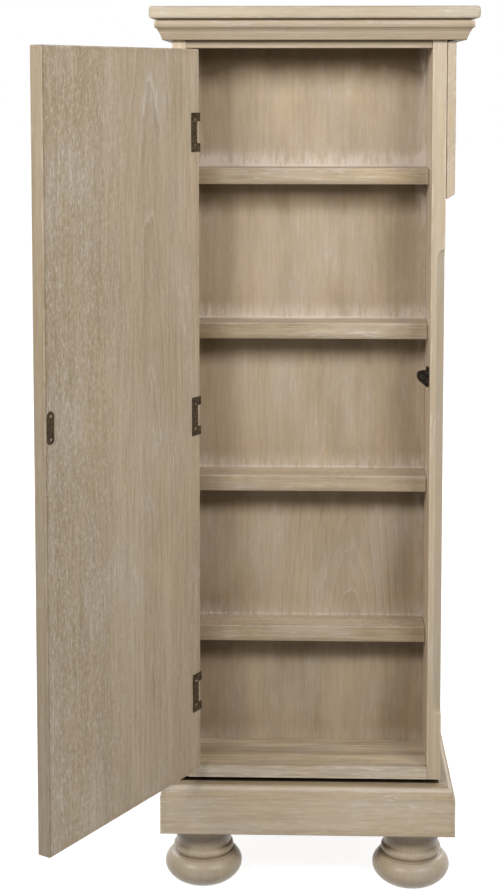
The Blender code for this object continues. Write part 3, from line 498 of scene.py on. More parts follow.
# %% [markdown]
# ## Worn edges
# Hands and cloths rub the stain off the sharp edges of a board, and a darker rim is left just inside them.
# On a face of a board one of the three distances to its box is nought, so the middle one of the three is the
# distance to the nearest edge. The group finds it from the board's lowest and highest corners, and a noise
# breaks up the line, because wear is never even.

# %% A group for worn edges
def vector_calc(tree, operation, first, second):
    """Vector Math node with two operands."""
    node = put(tree, "ShaderNodeVectorMath", operation=operation)
    feed(tree, node.inputs[0], first)
    feed(tree, node.inputs[1], second)
    return node.outputs[0]


WEAR_WIDTH = 0.0030
RIM_WIDTH = 0.0150
WANDER = 0.014
WANDER_MIDDLE = 0.0066
edge_group = bpy.data.node_groups.new("worn_edges", "ShaderNodeTree")
for socket_name in ("Position", "Low", "High"):
    edge_group.interface.new_socket(socket_name, in_out="INPUT", socket_type="NodeSocketVector")
for socket_name in ("Wear", "Rim"):
    edge_group.interface.new_socket(socket_name, in_out="OUTPUT", socket_type="NodeSocketFloat")
edge_in = put(edge_group, "NodeGroupInput")
edge_out = put(edge_group, "NodeGroupOutput")
from_low = vector_calc(edge_group, "SUBTRACT", edge_in.outputs["Position"], edge_in.outputs["Low"])
from_high = vector_calc(edge_group, "SUBTRACT", edge_in.outputs["High"], edge_in.outputs["Position"])
to_faces = put(edge_group, "ShaderNodeSeparateXYZ")
feed(edge_group, to_faces.inputs[0], vector_calc(edge_group, "MINIMUM", from_low, from_high))
to_x, to_y, to_z = to_faces.outputs
smaller = calc(edge_group, "MINIMUM", to_x, to_y)
larger = calc(edge_group, "MAXIMUM", to_x, to_y)
to_edge = calc(edge_group, "MAXIMUM", smaller, calc(edge_group, "MINIMUM", larger, to_z))
uneven = fibre_noise(edge_group, edge_in.outputs["Position"], (70.0, 70.0, 25.0), 3.0, 0.6)
to_edge = calc(edge_group, "ADD", to_edge, total(edge_group, (uneven, WANDER), (-WANDER_MIDDLE, 1.0)))
feed(edge_group, edge_out.inputs["Wear"], ease_range(edge_group, to_edge, WEAR_WIDTH, 0.0004))
feed(edge_group, edge_out.inputs["Rim"], ease_range(edge_group, to_edge, RIM_WIDTH, 0.0020))
print("Edge group nodes:", len(edge_group.nodes))

# %% [markdown]
# ## One finish, cut many ways
# Every board has the same stain, but its grain lies along its own length. A Mapping node turns the position
# so that the length becomes Z and the face becomes X, and moves the heart of the rings to where arches show
# on that board. Wide boards show arches, and narrow rails only straight fibres.

# %% Ways a board can lie
UPRIGHT_FACING_FRONT = (0.0, 0.0, 0.0)
UPRIGHT_FACING_SIDE = (0.0, 0.0, 90.0)
LENGTH_ALONG_X = (0.0, -90.0, 0.0)
FLAT_ALONG_X = (-90.0, -90.0, 0.0)
LENGTH_ALONG_Y = (90.0, 0.0, 90.0)
WOOD = (0.695, 0.567, 0.405)
STREAK = (0.425, 0.322, 0.200)
WAX = (0.740, 0.660, 0.575)
BARE = (0.770, 0.650, 0.495)
# The dark brown serves stain and painted shade, the milky white serves wax and painted light.
SHADE_AND_SOIL = (0.100, 0.060, 0.015)
MILK_AND_LIGHT = (0.860, 0.790, 0.730)
FAR_AWAY = 9.0  # a box this large leaves a piece without worn edges
USUAL_FINISH = {"Arches": 0.15, "Streaks": 0.45, "Pores": 0.40, "Clouds": 0.15, "Mottle": 0.10}
BRUSHED_STRENGTH = 0.3
BRUSHED_DEPTH = 0.0005


def limed_wood(name, turn, shift, shade=1.0, warmth=1.0, lean=0.12, depth=0.05, spacing=0.022, **amounts):
    """Limed wood for boards that lie one way; shift moves the heart of the rings on the board's face."""
    material = bpy.data.materials.new(name)
    material.use_nodes = True
    tree = material.node_tree
    shader = tree.nodes["Principled BSDF"]
    coordinate = put(tree, "ShaderNodeTexCoord")
    mapping = put(tree, "ShaderNodeMapping", vector_type="POINT")
    mapping.inputs["Rotation"].default_value = [math.radians(angle) for angle in turn]
    mapping.inputs["Location"].default_value = shift
    feed(tree, mapping.inputs["Vector"], coordinate.outputs["Object"])
    grain = put(tree, "ShaderNodeGroup", node_tree=grain_group, name="grain")
    feed(tree, grain.inputs["Position"], mapping.outputs["Vector"])
    for socket_name, colour in zip(GRAIN_COLOURS, (WOOD, STREAK, WAX, BARE, SHADE_AND_SOIL, MILK_AND_LIGHT)):
        tinted = (colour[0] * shade, colour[1] * shade / warmth, colour[2] * shade / warmth**2, 1.0)
        grain.inputs[socket_name].default_value = tinted
    finish = {**USUAL_FINISH, "Ring Spacing": spacing, "Heart Depth": depth, "Heart Lean": lean}
    finish.update({key.title(): value for key, value in amounts.items()})
    for socket_name, value in finish.items():
        grain.inputs[socket_name].default_value = value
    edges = put(tree, "ShaderNodeGroup", node_tree=edge_group, name="edges")
    edges.inputs["Low"].default_value = [-FAR_AWAY] * 3
    edges.inputs["High"].default_value = [FAR_AWAY] * 3
    feed(tree, edges.inputs["Position"], mapping.outputs["Vector"])
    feed(tree, grain.inputs["Wear"], edges.outputs["Wear"])
    feed(tree, grain.inputs["Rim"], edges.outputs["Rim"])
    bump = put(tree, "ShaderNodeBump")
    bump.inputs["Strength"].default_value = BRUSHED_STRENGTH
    bump.inputs["Distance"].default_value = BRUSHED_DEPTH
    feed(tree, bump.inputs["Height"], grain.outputs["Height"])
    feed(tree, shader.inputs["Base Color"], grain.outputs["Colour"])
    feed(tree, shader.inputs["Roughness"], grain.outputs["Roughness"])
    feed(tree, shader.inputs["Normal"], bump.outputs["Normal"])
    shader.inputs["Specular IOR Level"].default_value = 0.4
    return material


def dress(material, *names):
    """Give CAD nodes or pieces one material."""
    for name in names:
        target = nodes.get(name) or bpy.data.objects[name]
        target.data.materials.clear()
        target.data.materials.append(material)


def dress_boards(material, *names):
    """Give each board its own copy of a wood, with edges worn along that board."""
    mapping = material.node_tree.nodes["Mapping"]
    shift, turn = [mapping.inputs[key].default_value for key in ("Location", "Rotation")]
    along_grain = Matrix.LocRotScale(shift, turn, None)
    for name in names:
        spots = [along_grain @ vertex.co for vertex in nodes[name].data.vertices]
        own = material.copy()
        own.name = material.name + "_" + name
        edges = own.node_tree.nodes["edges"]
        edges.inputs["Low"].default_value = [min(spot[i] for spot in spots) for i in range(3)]
        edges.inputs["High"].default_value = [max(spot[i] for spot in spots) for i in range(3)]
        dress(own, name)
    bpy.data.materials.remove(material)


def paint_shade_and_highlight_bands(material, layer, *bands):
    """Painted shade in grooves or a painted highlight on ridges; a band is (height, half its width,
    strength).
    """
    tree = material.node_tree
    place = put(tree, "ShaderNodeSeparateXYZ")
    feed(tree, place.inputs[0], tree.nodes["Texture Coordinate"].outputs["Object"])
    socket = tree.nodes["grain"].inputs[layer]
    amount = socket.links[0].from_socket if socket.is_linked else 0.0
    for height, half_width, strength in bands:
        away = calc(tree, "ABSOLUTE", calc(tree, "SUBTRACT", place.outputs["Z"], height))
        amount = calc(tree, "MAXIMUM", amount, ease_range(tree, away, half_width, 0.0, 0.0, strength))
    feed(tree, socket, amount)


# %% [markdown]
# ## The door's figure
# The door shows the finish best. Its arches point up, a third of the way from the hinges, and the third next
# to its free edge is brushed rougher, so wax and stain stand there as fine specks. The Mapping node uses the
# door's own directions about the pin, so the figure stays on the door when it turns.

# %% Door wood
ARCHES_FROM_PIN = 0.131
ARRIS_WIDTH = 0.0040
door_shift = door_back.to_translation()
door_place = (door_shift.x - ARCHES_FROM_PIN, door_shift.y, 0.0)
door_wood = limed_wood(
    "door_wood", (0, 0, -math.degrees(open_angle)), door_place, shade=1.03,
    lean=0.1, depth=-0.050, arches=0.8, streaks=0.72, pores=0.60, clouds=0.30,
)
tree = door_wood.node_tree
door_axes = put(tree, "ShaderNodeSeparateXYZ")
feed(tree, door_axes.inputs[0], tree.nodes["Mapping"].outputs["Vector"])
across_door = door_axes.outputs["X"]
free_edge = door_span("door_panel")[1].x - ARCHES_FROM_PIN
brushed_third = ease_range(tree, across_door, 0.02, 0.18, 0.30, 1.0)
edge_face = ease_range(tree, across_door, free_edge - 0.0010, free_edge - 0.0002)
arris = ease_range(tree, across_door, free_edge - ARRIS_WIDTH, free_edge - 0.0014, 0.0, 0.55)
plain_edge = calc(tree, "SUBTRACT", brushed_third, calc(tree, "MULTIPLY", edge_face, 0.9))
feed(tree, tree.nodes["grain"].inputs["Mottle"], plain_edge)
# The face darkens within a few millimetres of the free edge, a little less on the edge face itself.
free_edge_darkening = calc(tree, "SUBTRACT", arris, calc(tree, "MULTIPLY", edge_face, 0.12))
feed(tree, tree.nodes["grain"].inputs["Stain And Shade"], free_edge_darkening)
dress_boards(door_wood, "door_panel")
print("Door figure at", round(ARCHES_FROM_PIN, 3), "m from the pin")

# %% [markdown]
# ## Wax, painted light and painted shade in the corners
# Inside the compartment the cloth can't reach into the corners, so white wax is left above each shelf, in the
# joints and beside the walls; it is made stronger higher up, with a haze over the top compartment, as painted
# light. Under the shelves and the head rail, by both walls and towards the bottom the colour is darkened as
# painted shade, with random darker patches. A third group works out both from the distance to the nearest
# shelf and wall.

# %% A group for the corners
LOWEST_SHELF_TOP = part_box("shelf_4")[1].z
SHELF_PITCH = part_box("shelf_3")[1].z - LOWEST_SHELF_TOP
SHELF_BOARD = LOWEST_SHELF_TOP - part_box("shelf_4")[0].z
FLOOR_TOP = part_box("case_floor")[1].z
HEAD_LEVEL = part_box("door_head_rail")[0].z
WALL_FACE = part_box("shelf_4")[1].x
HAIR = 0.0015  # a spot this little under a level counts as on it
SHELF_WAX, FLOOR_WAX, WALL_WAX, JOINT_WAX, PAINTED_HAZE = 0.034, 0.030, 0.022, 0.0065, 0.10  # how far each reaches
# How far the painted shade reaches under a shelf and under the head rail, and how much its lower edge wavers.
SHELF_SHADOW, HEAD_SHADOW, RAGGED_SHADOW = 0.060, 0.080, 0.010
MOST_WAX, MOST_SHADE = 0.8, 0.92
corner_group = bpy.data.node_groups.new("corner_wax_light_and_shade", "ShaderNodeTree")
corner_group.interface.new_socket("Position", in_out="INPUT", socket_type="NodeSocketVector")
for socket_name in ("Glaze And Light", "Stain And Shade"):
    corner_group.interface.new_socket(socket_name, in_out="OUTPUT", socket_type="NodeSocketFloat")
corner_in = put(corner_group, "NodeGroupInput")
corner_out = put(corner_group, "NodeGroupOutput")
inside = corner_in.outputs["Position"]
spot = put(corner_group, "ShaderNodeSeparateXYZ")
feed(corner_group, spot.inputs[0], inside)
sideways = spot.outputs["X"]
height = spot.outputs["Z"]
from_middle = calc(corner_group, "ABSOLUTE", sideways)


def above_level(level):
    """Height above the nearest of the levels that repeat with the shelves."""
    risen = calc(corner_group, "SUBTRACT", height, level - HAIR)
    steps = calc(corner_group, "DIVIDE", risen, SHELF_PITCH)
    return calc(corner_group, "MULTIPLY", calc(corner_group, "FRACT", steps), SHELF_PITCH)


# %% White wax in the corners, made stronger higher up as painted light
above_shelf = above_level(LOWEST_SHELF_TOP)
by_shelf = ease_range(corner_group, above_shelf, SHELF_WAX, 0.004)
by_floor = ease_range(corner_group, height, FLOOR_TOP + FLOOR_WAX, FLOOR_TOP + 0.002)
in_joint = ease_range(corner_group, above_shelf, JOINT_WAX, 0.0030)
by_wall = ease_range(corner_group, from_middle, WALL_FACE - WALL_WAX, WALL_FACE - 0.002)
to_corner = ease_range(corner_group, from_middle, 0.05, 0.17, 0.6, 1.0)
rubbed = noise_layer(corner_group, inside, (120.0, 120.0, 26.0), 4.0, 0.7, 0.36, 0.62)
low_edge = calc(corner_group, "MULTIPLY", calc(corner_group, "MAXIMUM", by_shelf, by_floor), to_corner)
# Painted light: the wax grows stronger higher up, and a haze of it lies over the lower part of the top
# compartment.
painted_light_higher_up = ease_range(corner_group, height, 0.2, 1.2, 0.55, 1.75)
painted_haze_above_shelf = ease_range(corner_group, above_shelf, PAINTED_HAZE, 0.01)
painted_haze = calc(corner_group, "MULTIPLY", painted_haze_above_shelf, ease_range(corner_group, height, 0.95, 1.2))
wax_and_painted_light = total(corner_group, (low_edge, 0.62), (by_wall, 0.25), (in_joint, 0.65), (painted_haze, 0.12))
wax_and_painted_light = calc(corner_group, "MULTIPLY", wax_and_painted_light, painted_light_higher_up)
wax_and_painted_light = calc(corner_group, "MULTIPLY", wax_and_painted_light, total(corner_group, (rubbed, 0.7), (0.3, 1.0)))
feed(corner_group, corner_out.inputs["Glaze And Light"], calc(corner_group, "MINIMUM", wax_and_painted_light, MOST_WAX))
print("Shelf tops from", round(LOWEST_SHELF_TOP, 4), "every", round(SHELF_PITCH, 4))

# %% Painted shade under the shelves and the head rail, by the walls and lower down
# Painted shade: darker under each shelf and under the head rail, with a wavering lower edge, beside the left
# wall by the door and the right wall, and towards the bottom, with random darker patches on top.
uneven_line = fibre_noise(corner_group, inside, (85.0, 85.0, 3.0), 3.0, 0.65)
ragged_shadow_edge = calc(corner_group, "MULTIPLY", calc(corner_group, "SUBTRACT", uneven_line, 0.5), RAGGED_SHADOW)
ragged_rise = calc(corner_group, "ADD", above_level(LOWEST_SHELF_TOP - SHELF_BOARD), ragged_shadow_edge)
shadow_under_shelf = ease_range(corner_group, ragged_rise, SHELF_PITCH - SHELF_SHADOW, SHELF_PITCH - 0.022)
ragged_height = calc(corner_group, "ADD", height, ragged_shadow_edge)
shadow_under_head = ease_range(corner_group, ragged_height, HEAD_LEVEL - HEAD_SHADOW, HEAD_LEVEL - 0.014, 0.0, 1.33)
shade_by_door = ease_range(corner_group, sideways, -0.10, -0.19, 0.0, 0.34)
shade_by_sides = calc(corner_group, "ADD", shade_by_door, ease_range(corner_group, sideways, 0.10, 0.19, 0.0, 0.20))
shade_lower_down = ease_range(corner_group, height, 1.1, 0.2, 0.0, 0.14)
patch = noise_layer(corner_group, inside, (13.0, 13.0, 6.0), 3.0, 0.55, 0.42, 0.70)
painted_shadow_under = calc(corner_group, "MAXIMUM", shadow_under_shelf, shadow_under_head)
shade_and_patches = total(corner_group, (painted_shadow_under, 0.66), (shade_by_sides, 1.0), (shade_lower_down, 1.0), (patch, 0.17))
feed(corner_group, corner_out.inputs["Stain And Shade"], calc(corner_group, "MINIMUM", shade_and_patches, MOST_SHADE))


def finish_corners(material, stained=True, waxed=1.0):
    """Link the corners' wax, painted light and painted shade to a wood's grain group; waxed weighs the wax.
    """
    tree = material.node_tree
    node = put(tree, "ShaderNodeGroup", node_tree=corner_group)
    feed(tree, node.inputs["Position"], tree.nodes["Texture Coordinate"].outputs["Object"])
    feed(tree, tree.nodes["grain"].inputs["Glaze And Light"], calc(tree, "MULTIPLY", node.outputs["Glaze And Light"], waxed))
    if stained:
        feed(tree, tree.nodes["grain"].inputs["Stain And Shade"], node.outputs["Stain And Shade"])


print("Corner group nodes:", len(corner_group.nodes))

# %% Wood of the compartment
def broad_streaks(tree, strength):
    """Darker streaks as wide as a hand, along X, as on boards that are wiped lengthwise."""
    place = tree.nodes["Texture Coordinate"].outputs["Object"]
    return noise_layer(tree, place, (1.3, 17.0, 17.0), 3.0, 0.6, 0.44, 0.60, 0.0, strength)


INSIDE = {"shade": 0.975, "warmth": 1.025}
partition_wood = limed_wood(
    "partition_wood", UPRIGHT_FACING_FRONT, (-0.07, 0.10, 0.0), **INSIDE,
    lean=0.35, depth=-0.122, spacing=0.021, streaks=0.56, clouds=0.42,
)
tree = partition_wood.node_tree
partition_axes = put(tree, "ShaderNodeSeparateXYZ")
feed(tree, partition_axes.inputs[0], tree.nodes["Mapping"].outputs["Vector"])
arched_above = ease_range(tree, partition_axes.outputs["Z"], 0.34, 0.46)
arched_below = ease_range(tree, partition_axes.outputs["Z"], 0.72, 0.62, 0.2, 1.2)
feed(tree, tree.nodes["grain"].inputs["Arches"], calc(tree, "MULTIPLY", arched_above, arched_below))
wall_wood = limed_wood("wall_wood", UPRIGHT_FACING_SIDE, (0.17, -0.19, 3.1), **INSIDE, streaks=0.5)
shelf_wood = limed_wood(
    "shelf_wood", LENGTH_ALONG_X, (0.52, 0.03, 1.4), shade=1.15, warmth=1.02,
    streaks=1.0, pores=0.7, clouds=0.40,
)
finish_corners(partition_wood)
finish_corners(wall_wood, stained=False)
finish_corners(shelf_wood, waxed=0.35)
# The shelves' stain input holds the corners' painted shade; streaks wiped along the boards are added to it.
tree = shelf_wood.node_tree
shelf_stain_and_shade = tree.nodes["grain"].inputs["Stain And Shade"]
feed(tree, shelf_stain_and_shade, calc(tree, "ADD", shelf_stain_and_shade.links[0].from_socket, broad_streaks(tree, 0.16)))
SHELVES = ("shelf_1", "shelf_2", "shelf_3", "shelf_4")
shelf_bottoms = [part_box(name)[0].z for name in SHELVES]
# Painted shade along the lower front edge of each shelf, and a slightly darker strip along each shelf top.
LOW_EDGE_SHADE, TOP_BAND = (0.012, 0.42), (0.003, 0.12)
low_edge_shade = [(bottom + 0.002, *LOW_EDGE_SHADE) for bottom in shelf_bottoms]
tops = [(bottom + SHELF_BOARD, *TOP_BAND) for bottom in shelf_bottoms]
paint_shade_and_highlight_bands(shelf_wood, "Stain And Shade", *low_edge_shade, *tops)
dress(partition_wood, "compartment_back")
dress_boards(wall_wood, "compartment_wall")
dress(shelf_wood, *SHELVES)
print("Compartment dressed, shelves:", len(SHELVES))

# %% Wood of the case, cornice, plinth and feet
post_wood = limed_wood("post_wood", UPRIGHT_FACING_FRONT, (0.31, 0.05, 0.0), streaks=0.32)
# The head rail is toned down as painted shade, for the cornice's shadow on it.
rail_wood = limed_wood("rail_wood", LENGTH_ALONG_X, (0.31, 0.02, 0.2), shade=0.92, streaks=0.36)
side_rail_wood = limed_wood("side_rail_wood", LENGTH_ALONG_Y, (0.42, 0.03, 0.6), streaks=0.36)
# The cornice mouldings are toned down a little as painted shade, for the cove that faces down.
cornice_wood = limed_wood("cornice_wood", LENGTH_ALONG_X, (0.25, 0.06, 0.9), shade=0.94, streaks=0.55)
cornice_side_wood = limed_wood(
    "cornice_side_wood", LENGTH_ALONG_Y, (0.61, 0.02, 1.1), shade=0.94, streaks=0.55
)
slab_wood = limed_wood(
    "slab_wood", FLAT_ALONG_X, (0.05, -1.30, 0.4), shade=1.05, warmth=0.96,
    arches=0.4, streaks=0.34, clouds=0.25,
)
PANEL_FINISH = {"arches": 0.75, "clouds": 0.18}
left_panel_wood = limed_wood("left_panel_wood", UPRIGHT_FACING_SIDE, (0.03, 0.21, 0.9), **PANEL_FINISH)
back_panel_wood = limed_wood("back_panel_wood", UPRIGHT_FACING_FRONT, (0.04, -0.21, 1.7), **PANEL_FINISH)
floor_wood = limed_wood(
    "floor_wood", FLAT_ALONG_X, (0.16, -0.2, 2.2), shade=1.18, warmth=0.965, streaks=1.1, clouds=0.45
)
# The plinth is made paler than the case as painted light, making up for the dimmer light low down.
PLINTH_FINISH = {"shade": 1.16, "streaks": 0.78, "pores": 0.5, "clouds": 0.34}
plinth_wood = limed_wood("plinth_wood", LENGTH_ALONG_X, (0.14, 0.23, 0.7), **PLINTH_FINISH)
plinth_side_wood = limed_wood("plinth_side_wood", LENGTH_ALONG_Y, (-0.14, 0.1, 1.9), **PLINTH_FINISH)
front_wood = limed_wood("drawer_front_wood", LENGTH_ALONG_Y, (-0.32, -0.16, 0.8), arches=0.6, streaks=0.4)
frieze_wood = limed_wood("frieze_wood", LENGTH_ALONG_Y, (0.9, -0.16, 0.3), arches=0.0, streaks=0.3)
foot_wood = limed_wood(
    "foot_wood", UPRIGHT_FACING_FRONT, (0.42, 0.18, 0.5), shade=0.94, streaks=0.50, pores=0.25, clouds=0.22
)
# The deck under the case is made nearly black, a painted shadow, so that the gap between case and plinth
# reads dark.
painted_shadow_deck_wood = limed_wood(
    "painted_shadow_deck_wood", FLAT_ALONG_X, (0.2, 0.0, 1.2), shade=0.10, warmth=1.1, streaks=0.6, pores=0.1, clouds=0.0
)

# %% Duller slab, deck darkened as a painted shadow, streaked floor, polished feet
painted_shadow_deck_wood.node_tree.nodes["Principled BSDF"].inputs["Specular IOR Level"].default_value = 0.1
tree = slab_wood.node_tree
slab_shader = tree.nodes["Principled BSDF"]
slab_shader.inputs["Specular IOR Level"].default_value = 0.15
slab_roughness = calc(tree, "MULTIPLY", tree.nodes["grain"].outputs["Roughness"], 1.4)
feed(tree, slab_shader.inputs["Roughness"], slab_roughness)
tree = floor_wood.node_tree
floor_axes = put(tree, "ShaderNodeSeparateXYZ")
feed(tree, floor_axes.inputs[0], tree.nodes["Texture Coordinate"].outputs["Object"])
on_top = ease_range(tree, floor_axes.outputs["Z"], FLOOR_TOP - 0.0030, FLOOR_TOP - 0.0008, 0.1, 1.0)
broad_stain = calc(tree, "MULTIPLY", broad_streaks(tree, 0.36), on_top)
feed(tree, tree.nodes["grain"].inputs["Stain And Shade"], broad_stain)
foot_shader = foot_wood.node_tree.nodes["Principled BSDF"]
foot_shader.inputs["Specular IOR Level"].default_value = 0.20
foot_shader.inputs["Coat Weight"].default_value = 0.65
foot_shader.inputs["Coat Roughness"].default_value = 0.315

# %% Painted shade in the mouldings' hollows and a painted highlight on the plinth's nose
cornice_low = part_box("cornice_front")[0].z
plinth_low, plinth_high = [corner.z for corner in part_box("plinth_front")]
# Painted shade: darker bands under the slab, under the fillet, at the foot of the cove and along the lower
# edge.
CORNICE_SHADE_BANDS = (
    (cornice_low + 0.0310, 0.0024, 0.85),
    (cornice_low + 0.0180, 0.0090, 0.50),
    (cornice_low + 0.0040, 0.0140, 0.24),
    (cornice_low, 0.0022, 0.8),
)
# Painted shade along the top of the plinth under the case and along its lower edge, and a painted highlight
# along its rounded nose.
PLINTH_SHADE_BANDS = ((plinth_high - 0.0002, 0.0032, 0.42), (plinth_low + 0.0002, 0.0020, 0.4))
PLINTH_HIGHLIGHT = (plinth_high - 0.0052, 0.0042, 0.34)
# Painted shadow of the cornice, darkest at the top of the head rails.
RAIL_SHADOW_BAND = (HEAD_LEVEL + 0.0120, 0.0130, 0.76)
# Painted shade in the creases at the top of the bun, the ring and the collar, and over the neck that lies in
# the plinth's shadow.
FOOT_SHADE_BANDS = (
    (BUN_TOP, 0.0012, 0.35),
    (RING_TOP + 0.0002, 0.0012, 0.7),
    (COLLAR_TOP + 0.0012, 0.0050, 0.30),
)
NECK_SHADE = (foot_top - 0.0207, 0.0180, 0.62)
for wood in (cornice_wood, cornice_side_wood):
    paint_shade_and_highlight_bands(wood, "Stain And Shade", *CORNICE_SHADE_BANDS)
for wood in (rail_wood, side_rail_wood):
    paint_shade_and_highlight_bands(wood, "Stain And Shade", RAIL_SHADOW_BAND)
for wood in (plinth_wood, plinth_side_wood):
    paint_shade_and_highlight_bands(wood, "Stain And Shade", *PLINTH_SHADE_BANDS)
    paint_shade_and_highlight_bands(wood, "Glaze And Light", PLINTH_HIGHLIGHT)
paint_shade_and_highlight_bands(foot_wood, "Stain And Shade", *FOOT_SHADE_BANDS, NECK_SHADE)
print("Bands on cornice, plinth and foot:", len(CORNICE_SHADE_BANDS), len(PLINTH_SHADE_BANDS), len(FOOT_SHADE_BANDS))

# %% Dress the boards
dress_boards(post_wood, "post_front_left", "post_front_right", "post_back_left", "post_back_right")
dress_boards(rail_wood, "door_head_rail")
dress_boards(side_rail_wood, "drawer_head_rail")
dress_boards(cornice_wood, "cornice_front", "cornice_back")
dress_boards(cornice_side_wood, "cornice_left", "cornice_right")
dress_boards(slab_wood, "cornice_slab")
dress_boards(left_panel_wood, "side_panel_left")
dress_boards(back_panel_wood, "side_panel_back")
dress_boards(floor_wood, "case_floor")
dress_boards(plinth_wood, "plinth_front", "plinth_back")
dress_boards(plinth_side_wood, "plinth_left", "plinth_right")
dress_boards(front_wood, *["drawer_%d_front" % number for number in range(2, 6)])
dress_boards(frieze_wood, "drawer_1_front")
dress(foot_wood, *foot_names, *[foot.name for foot in feet])
dress(painted_shadow_deck_wood, "plinth_deck")
print("Limed woods:", len([material for material in bpy.data.materials if "_wood" in material.name]))

# %% [markdown]
# ## Plain wood inside
# Drawer boxes, dust panels and the board over the feet are sanded wood without stain or wax. The same grain
# group serves, with pale straight wood and no wax at all.

# %% Plain wood
box_wood = limed_wood(
    "box_wood", LENGTH_ALONG_X, (0.22, 0.08, 1.1), arches=0.3, pores=0.0, clouds=0.0, mottle=0.0
)
box_grain = box_wood.node_tree.nodes["grain"]
box_grain.inputs["Wood"].default_value = (0.62, 0.49, 0.33, 1.0)
box_grain.inputs["Streak"].default_value = (0.47, 0.34, 0.20, 1.0)
drawer_boxes = ["drawer_%d_box" % number for number in range(1, 6)]
dust_panels = ["dust_panel_%d" % number for number in range(1, 5)]
dress(box_wood, "plinth_base_board", *drawer_boxes, *dust_panels)
print("Plain boards:", 1 + len(drawer_boxes) + len(dust_panels))

# %% [markdown]
# ## Dark bronze and steel
# The hinges, latch, strike and knobs are dark antique bronze: nearly black in the hollows and brown where
# hands rub it. A cloudy noise moves colour and roughness between the two. Screw heads are rubbed paler. The
# swivel plates are plain rolled steel with a noise drawn out along the rolling.

# %% Metals
CAST_STRENGTH = 0.25
CAST_DEPTH = 0.0003
CAST_CELLS = (260, 260, 190)


def cloudy_metal(name, dark, light, cells, roughness, metallic):
    """Metal whose colour and roughness drift with a noise of the given cells per metre."""
    material = bpy.data.materials.new(name)
    material.use_nodes = True
    tree = material.node_tree
    shader = tree.nodes["Principled BSDF"]
    coordinate = put(tree, "ShaderNodeTexCoord")
    drift = fibre_noise(tree, coordinate.outputs["Object"], cells, 4.0, 0.6)
    rubbed = ease_range(tree, drift, 0.36, 0.66)
    bump = put(tree, "ShaderNodeBump")
    bump.inputs["Strength"].default_value = CAST_STRENGTH
    bump.inputs["Distance"].default_value = CAST_DEPTH
    feed(tree, bump.inputs["Height"], drift)
    feed(tree, shader.inputs["Base Color"], blend_colour(tree, rubbed, dark, light))
    satin = ease_range(tree, drift, 0.3, 0.7, roughness + 0.1, roughness - 0.1)
    feed(tree, shader.inputs["Roughness"], satin)
    feed(tree, shader.inputs["Normal"], bump.outputs["Normal"])
    shader.inputs["Metallic"].default_value = metallic
    return material


bronze = cloudy_metal(
    "dark_bronze", (0.030, 0.021, 0.012, 1), (0.140, 0.104, 0.060, 1), CAST_CELLS, 0.48, 0.6
)
latch_bronze = cloudy_metal(
    "latch_bronze", (0.012, 0.010, 0.008, 1), (0.050, 0.040, 0.030, 1), (200, 200, 200), 0.50, 0.9
)
strike_bronze = cloudy_metal(
    "strike_bronze", (0.022, 0.012, 0.004, 1), (0.082, 0.050, 0.018, 1), CAST_CELLS, 0.48, 0.6
)
screw_bronze = cloudy_metal(
    "rubbed_bronze", (0.16, 0.13, 0.095, 1), (0.34, 0.29, 0.22, 1), (500, 500, 500), 0.36, 0.8
)
steel = cloudy_metal(
    "rolled_steel", (0.40, 0.40, 0.40, 1), (0.52, 0.52, 0.51, 1), (30, 400, 30), 0.38, 1.0
)
dress(bronze, *["hinge_frame_leaf_" + place for place in HINGE_PLACES])
dress(bronze, *["hinge_door_leaf_" + place for place in HINGE_PLACES])
dress(bronze, *knob_names, *[knob.name for knob in knobs])
dress(latch_bronze, "push_latch")
dress(strike_bronze, "latch_strike")
dress(screw_bronze, *[driven.name for driven in screws])
dress(steel, "swivel_lower_plate", "swivel_upper_plate", "swivel_ball_ring")
metals = (bronze, latch_bronze, strike_bronze, screw_bronze, steel)
print("Metals:", [metal.name for metal in metals])

# %% [markdown]
# ## Floor and light
# The picture has a white ground. The floor is one large plane that shows itself to the camera as nearly
# white, and quite white further off, but keeps a soft shadow by the feet. Two wide soft lamps stand left and
# right of the camera, a little above the chest, so each shelf and post throws a soft dark shadow on the back
# of the compartment. Two more stand behind for the sides that the picture doesn't show. The world adds a
# faint glow, and the camera and the metals see it as white.

# %% Floor
def seen_directly(tree):
    """1 for rays from the camera, mirror rays and rays through glass, 0 for the light that spreads."""
    path = put(tree, "ShaderNodeLightPath")
    seen = calc(tree, "MAXIMUM", path.outputs["Is Camera Ray"], path.outputs["Is Glossy Ray"])
    return calc(tree, "MAXIMUM", seen, path.outputs["Is Transmission Ray"])


FLOOR_SIZE = 60.0
FLOOR_DROP = 0.0005
NEAR_WHITENESS = 0.90
WHITE, GREY = (1.0, 1.0, 1.0, 1.0), (0.45, 0.45, 0.45, 1.0)
clear_selection()
bpy.ops.mesh.primitive_plane_add(size=FLOOR_SIZE, location=(0.0, 0.0, cad_low.z - FLOOR_DROP))
floor = bpy.context.object
floor.name = "studio_floor"
floor_material = bpy.data.materials.new("studio_floor")
floor_material.use_nodes = True
tree = floor_material.node_tree
matt = tree.nodes["Principled BSDF"]
matt.inputs["Base Color"].default_value = GREY
matt.inputs["Roughness"].default_value = 0.9
matt.inputs["Emission Color"].default_value = WHITE
coordinate = put(tree, "ShaderNodeTexCoord")
away = put(tree, "ShaderNodeVectorMath", operation="LENGTH")
feed(tree, away.inputs[0], coordinate.outputs["Object"])
whiteness = ease_range(tree, away.outputs["Value"], 0.5, 2.2, NEAR_WHITENESS, 1.0)
feed(tree, matt.inputs["Emission Strength"], calc(tree, "MULTIPLY", whiteness, seen_directly(tree)))
floor.data.materials.append(floor_material)
print("Floor at", round(cad_low.z - FLOOR_DROP, 4), "whiteness by the feet:", NEAR_WHITENESS)

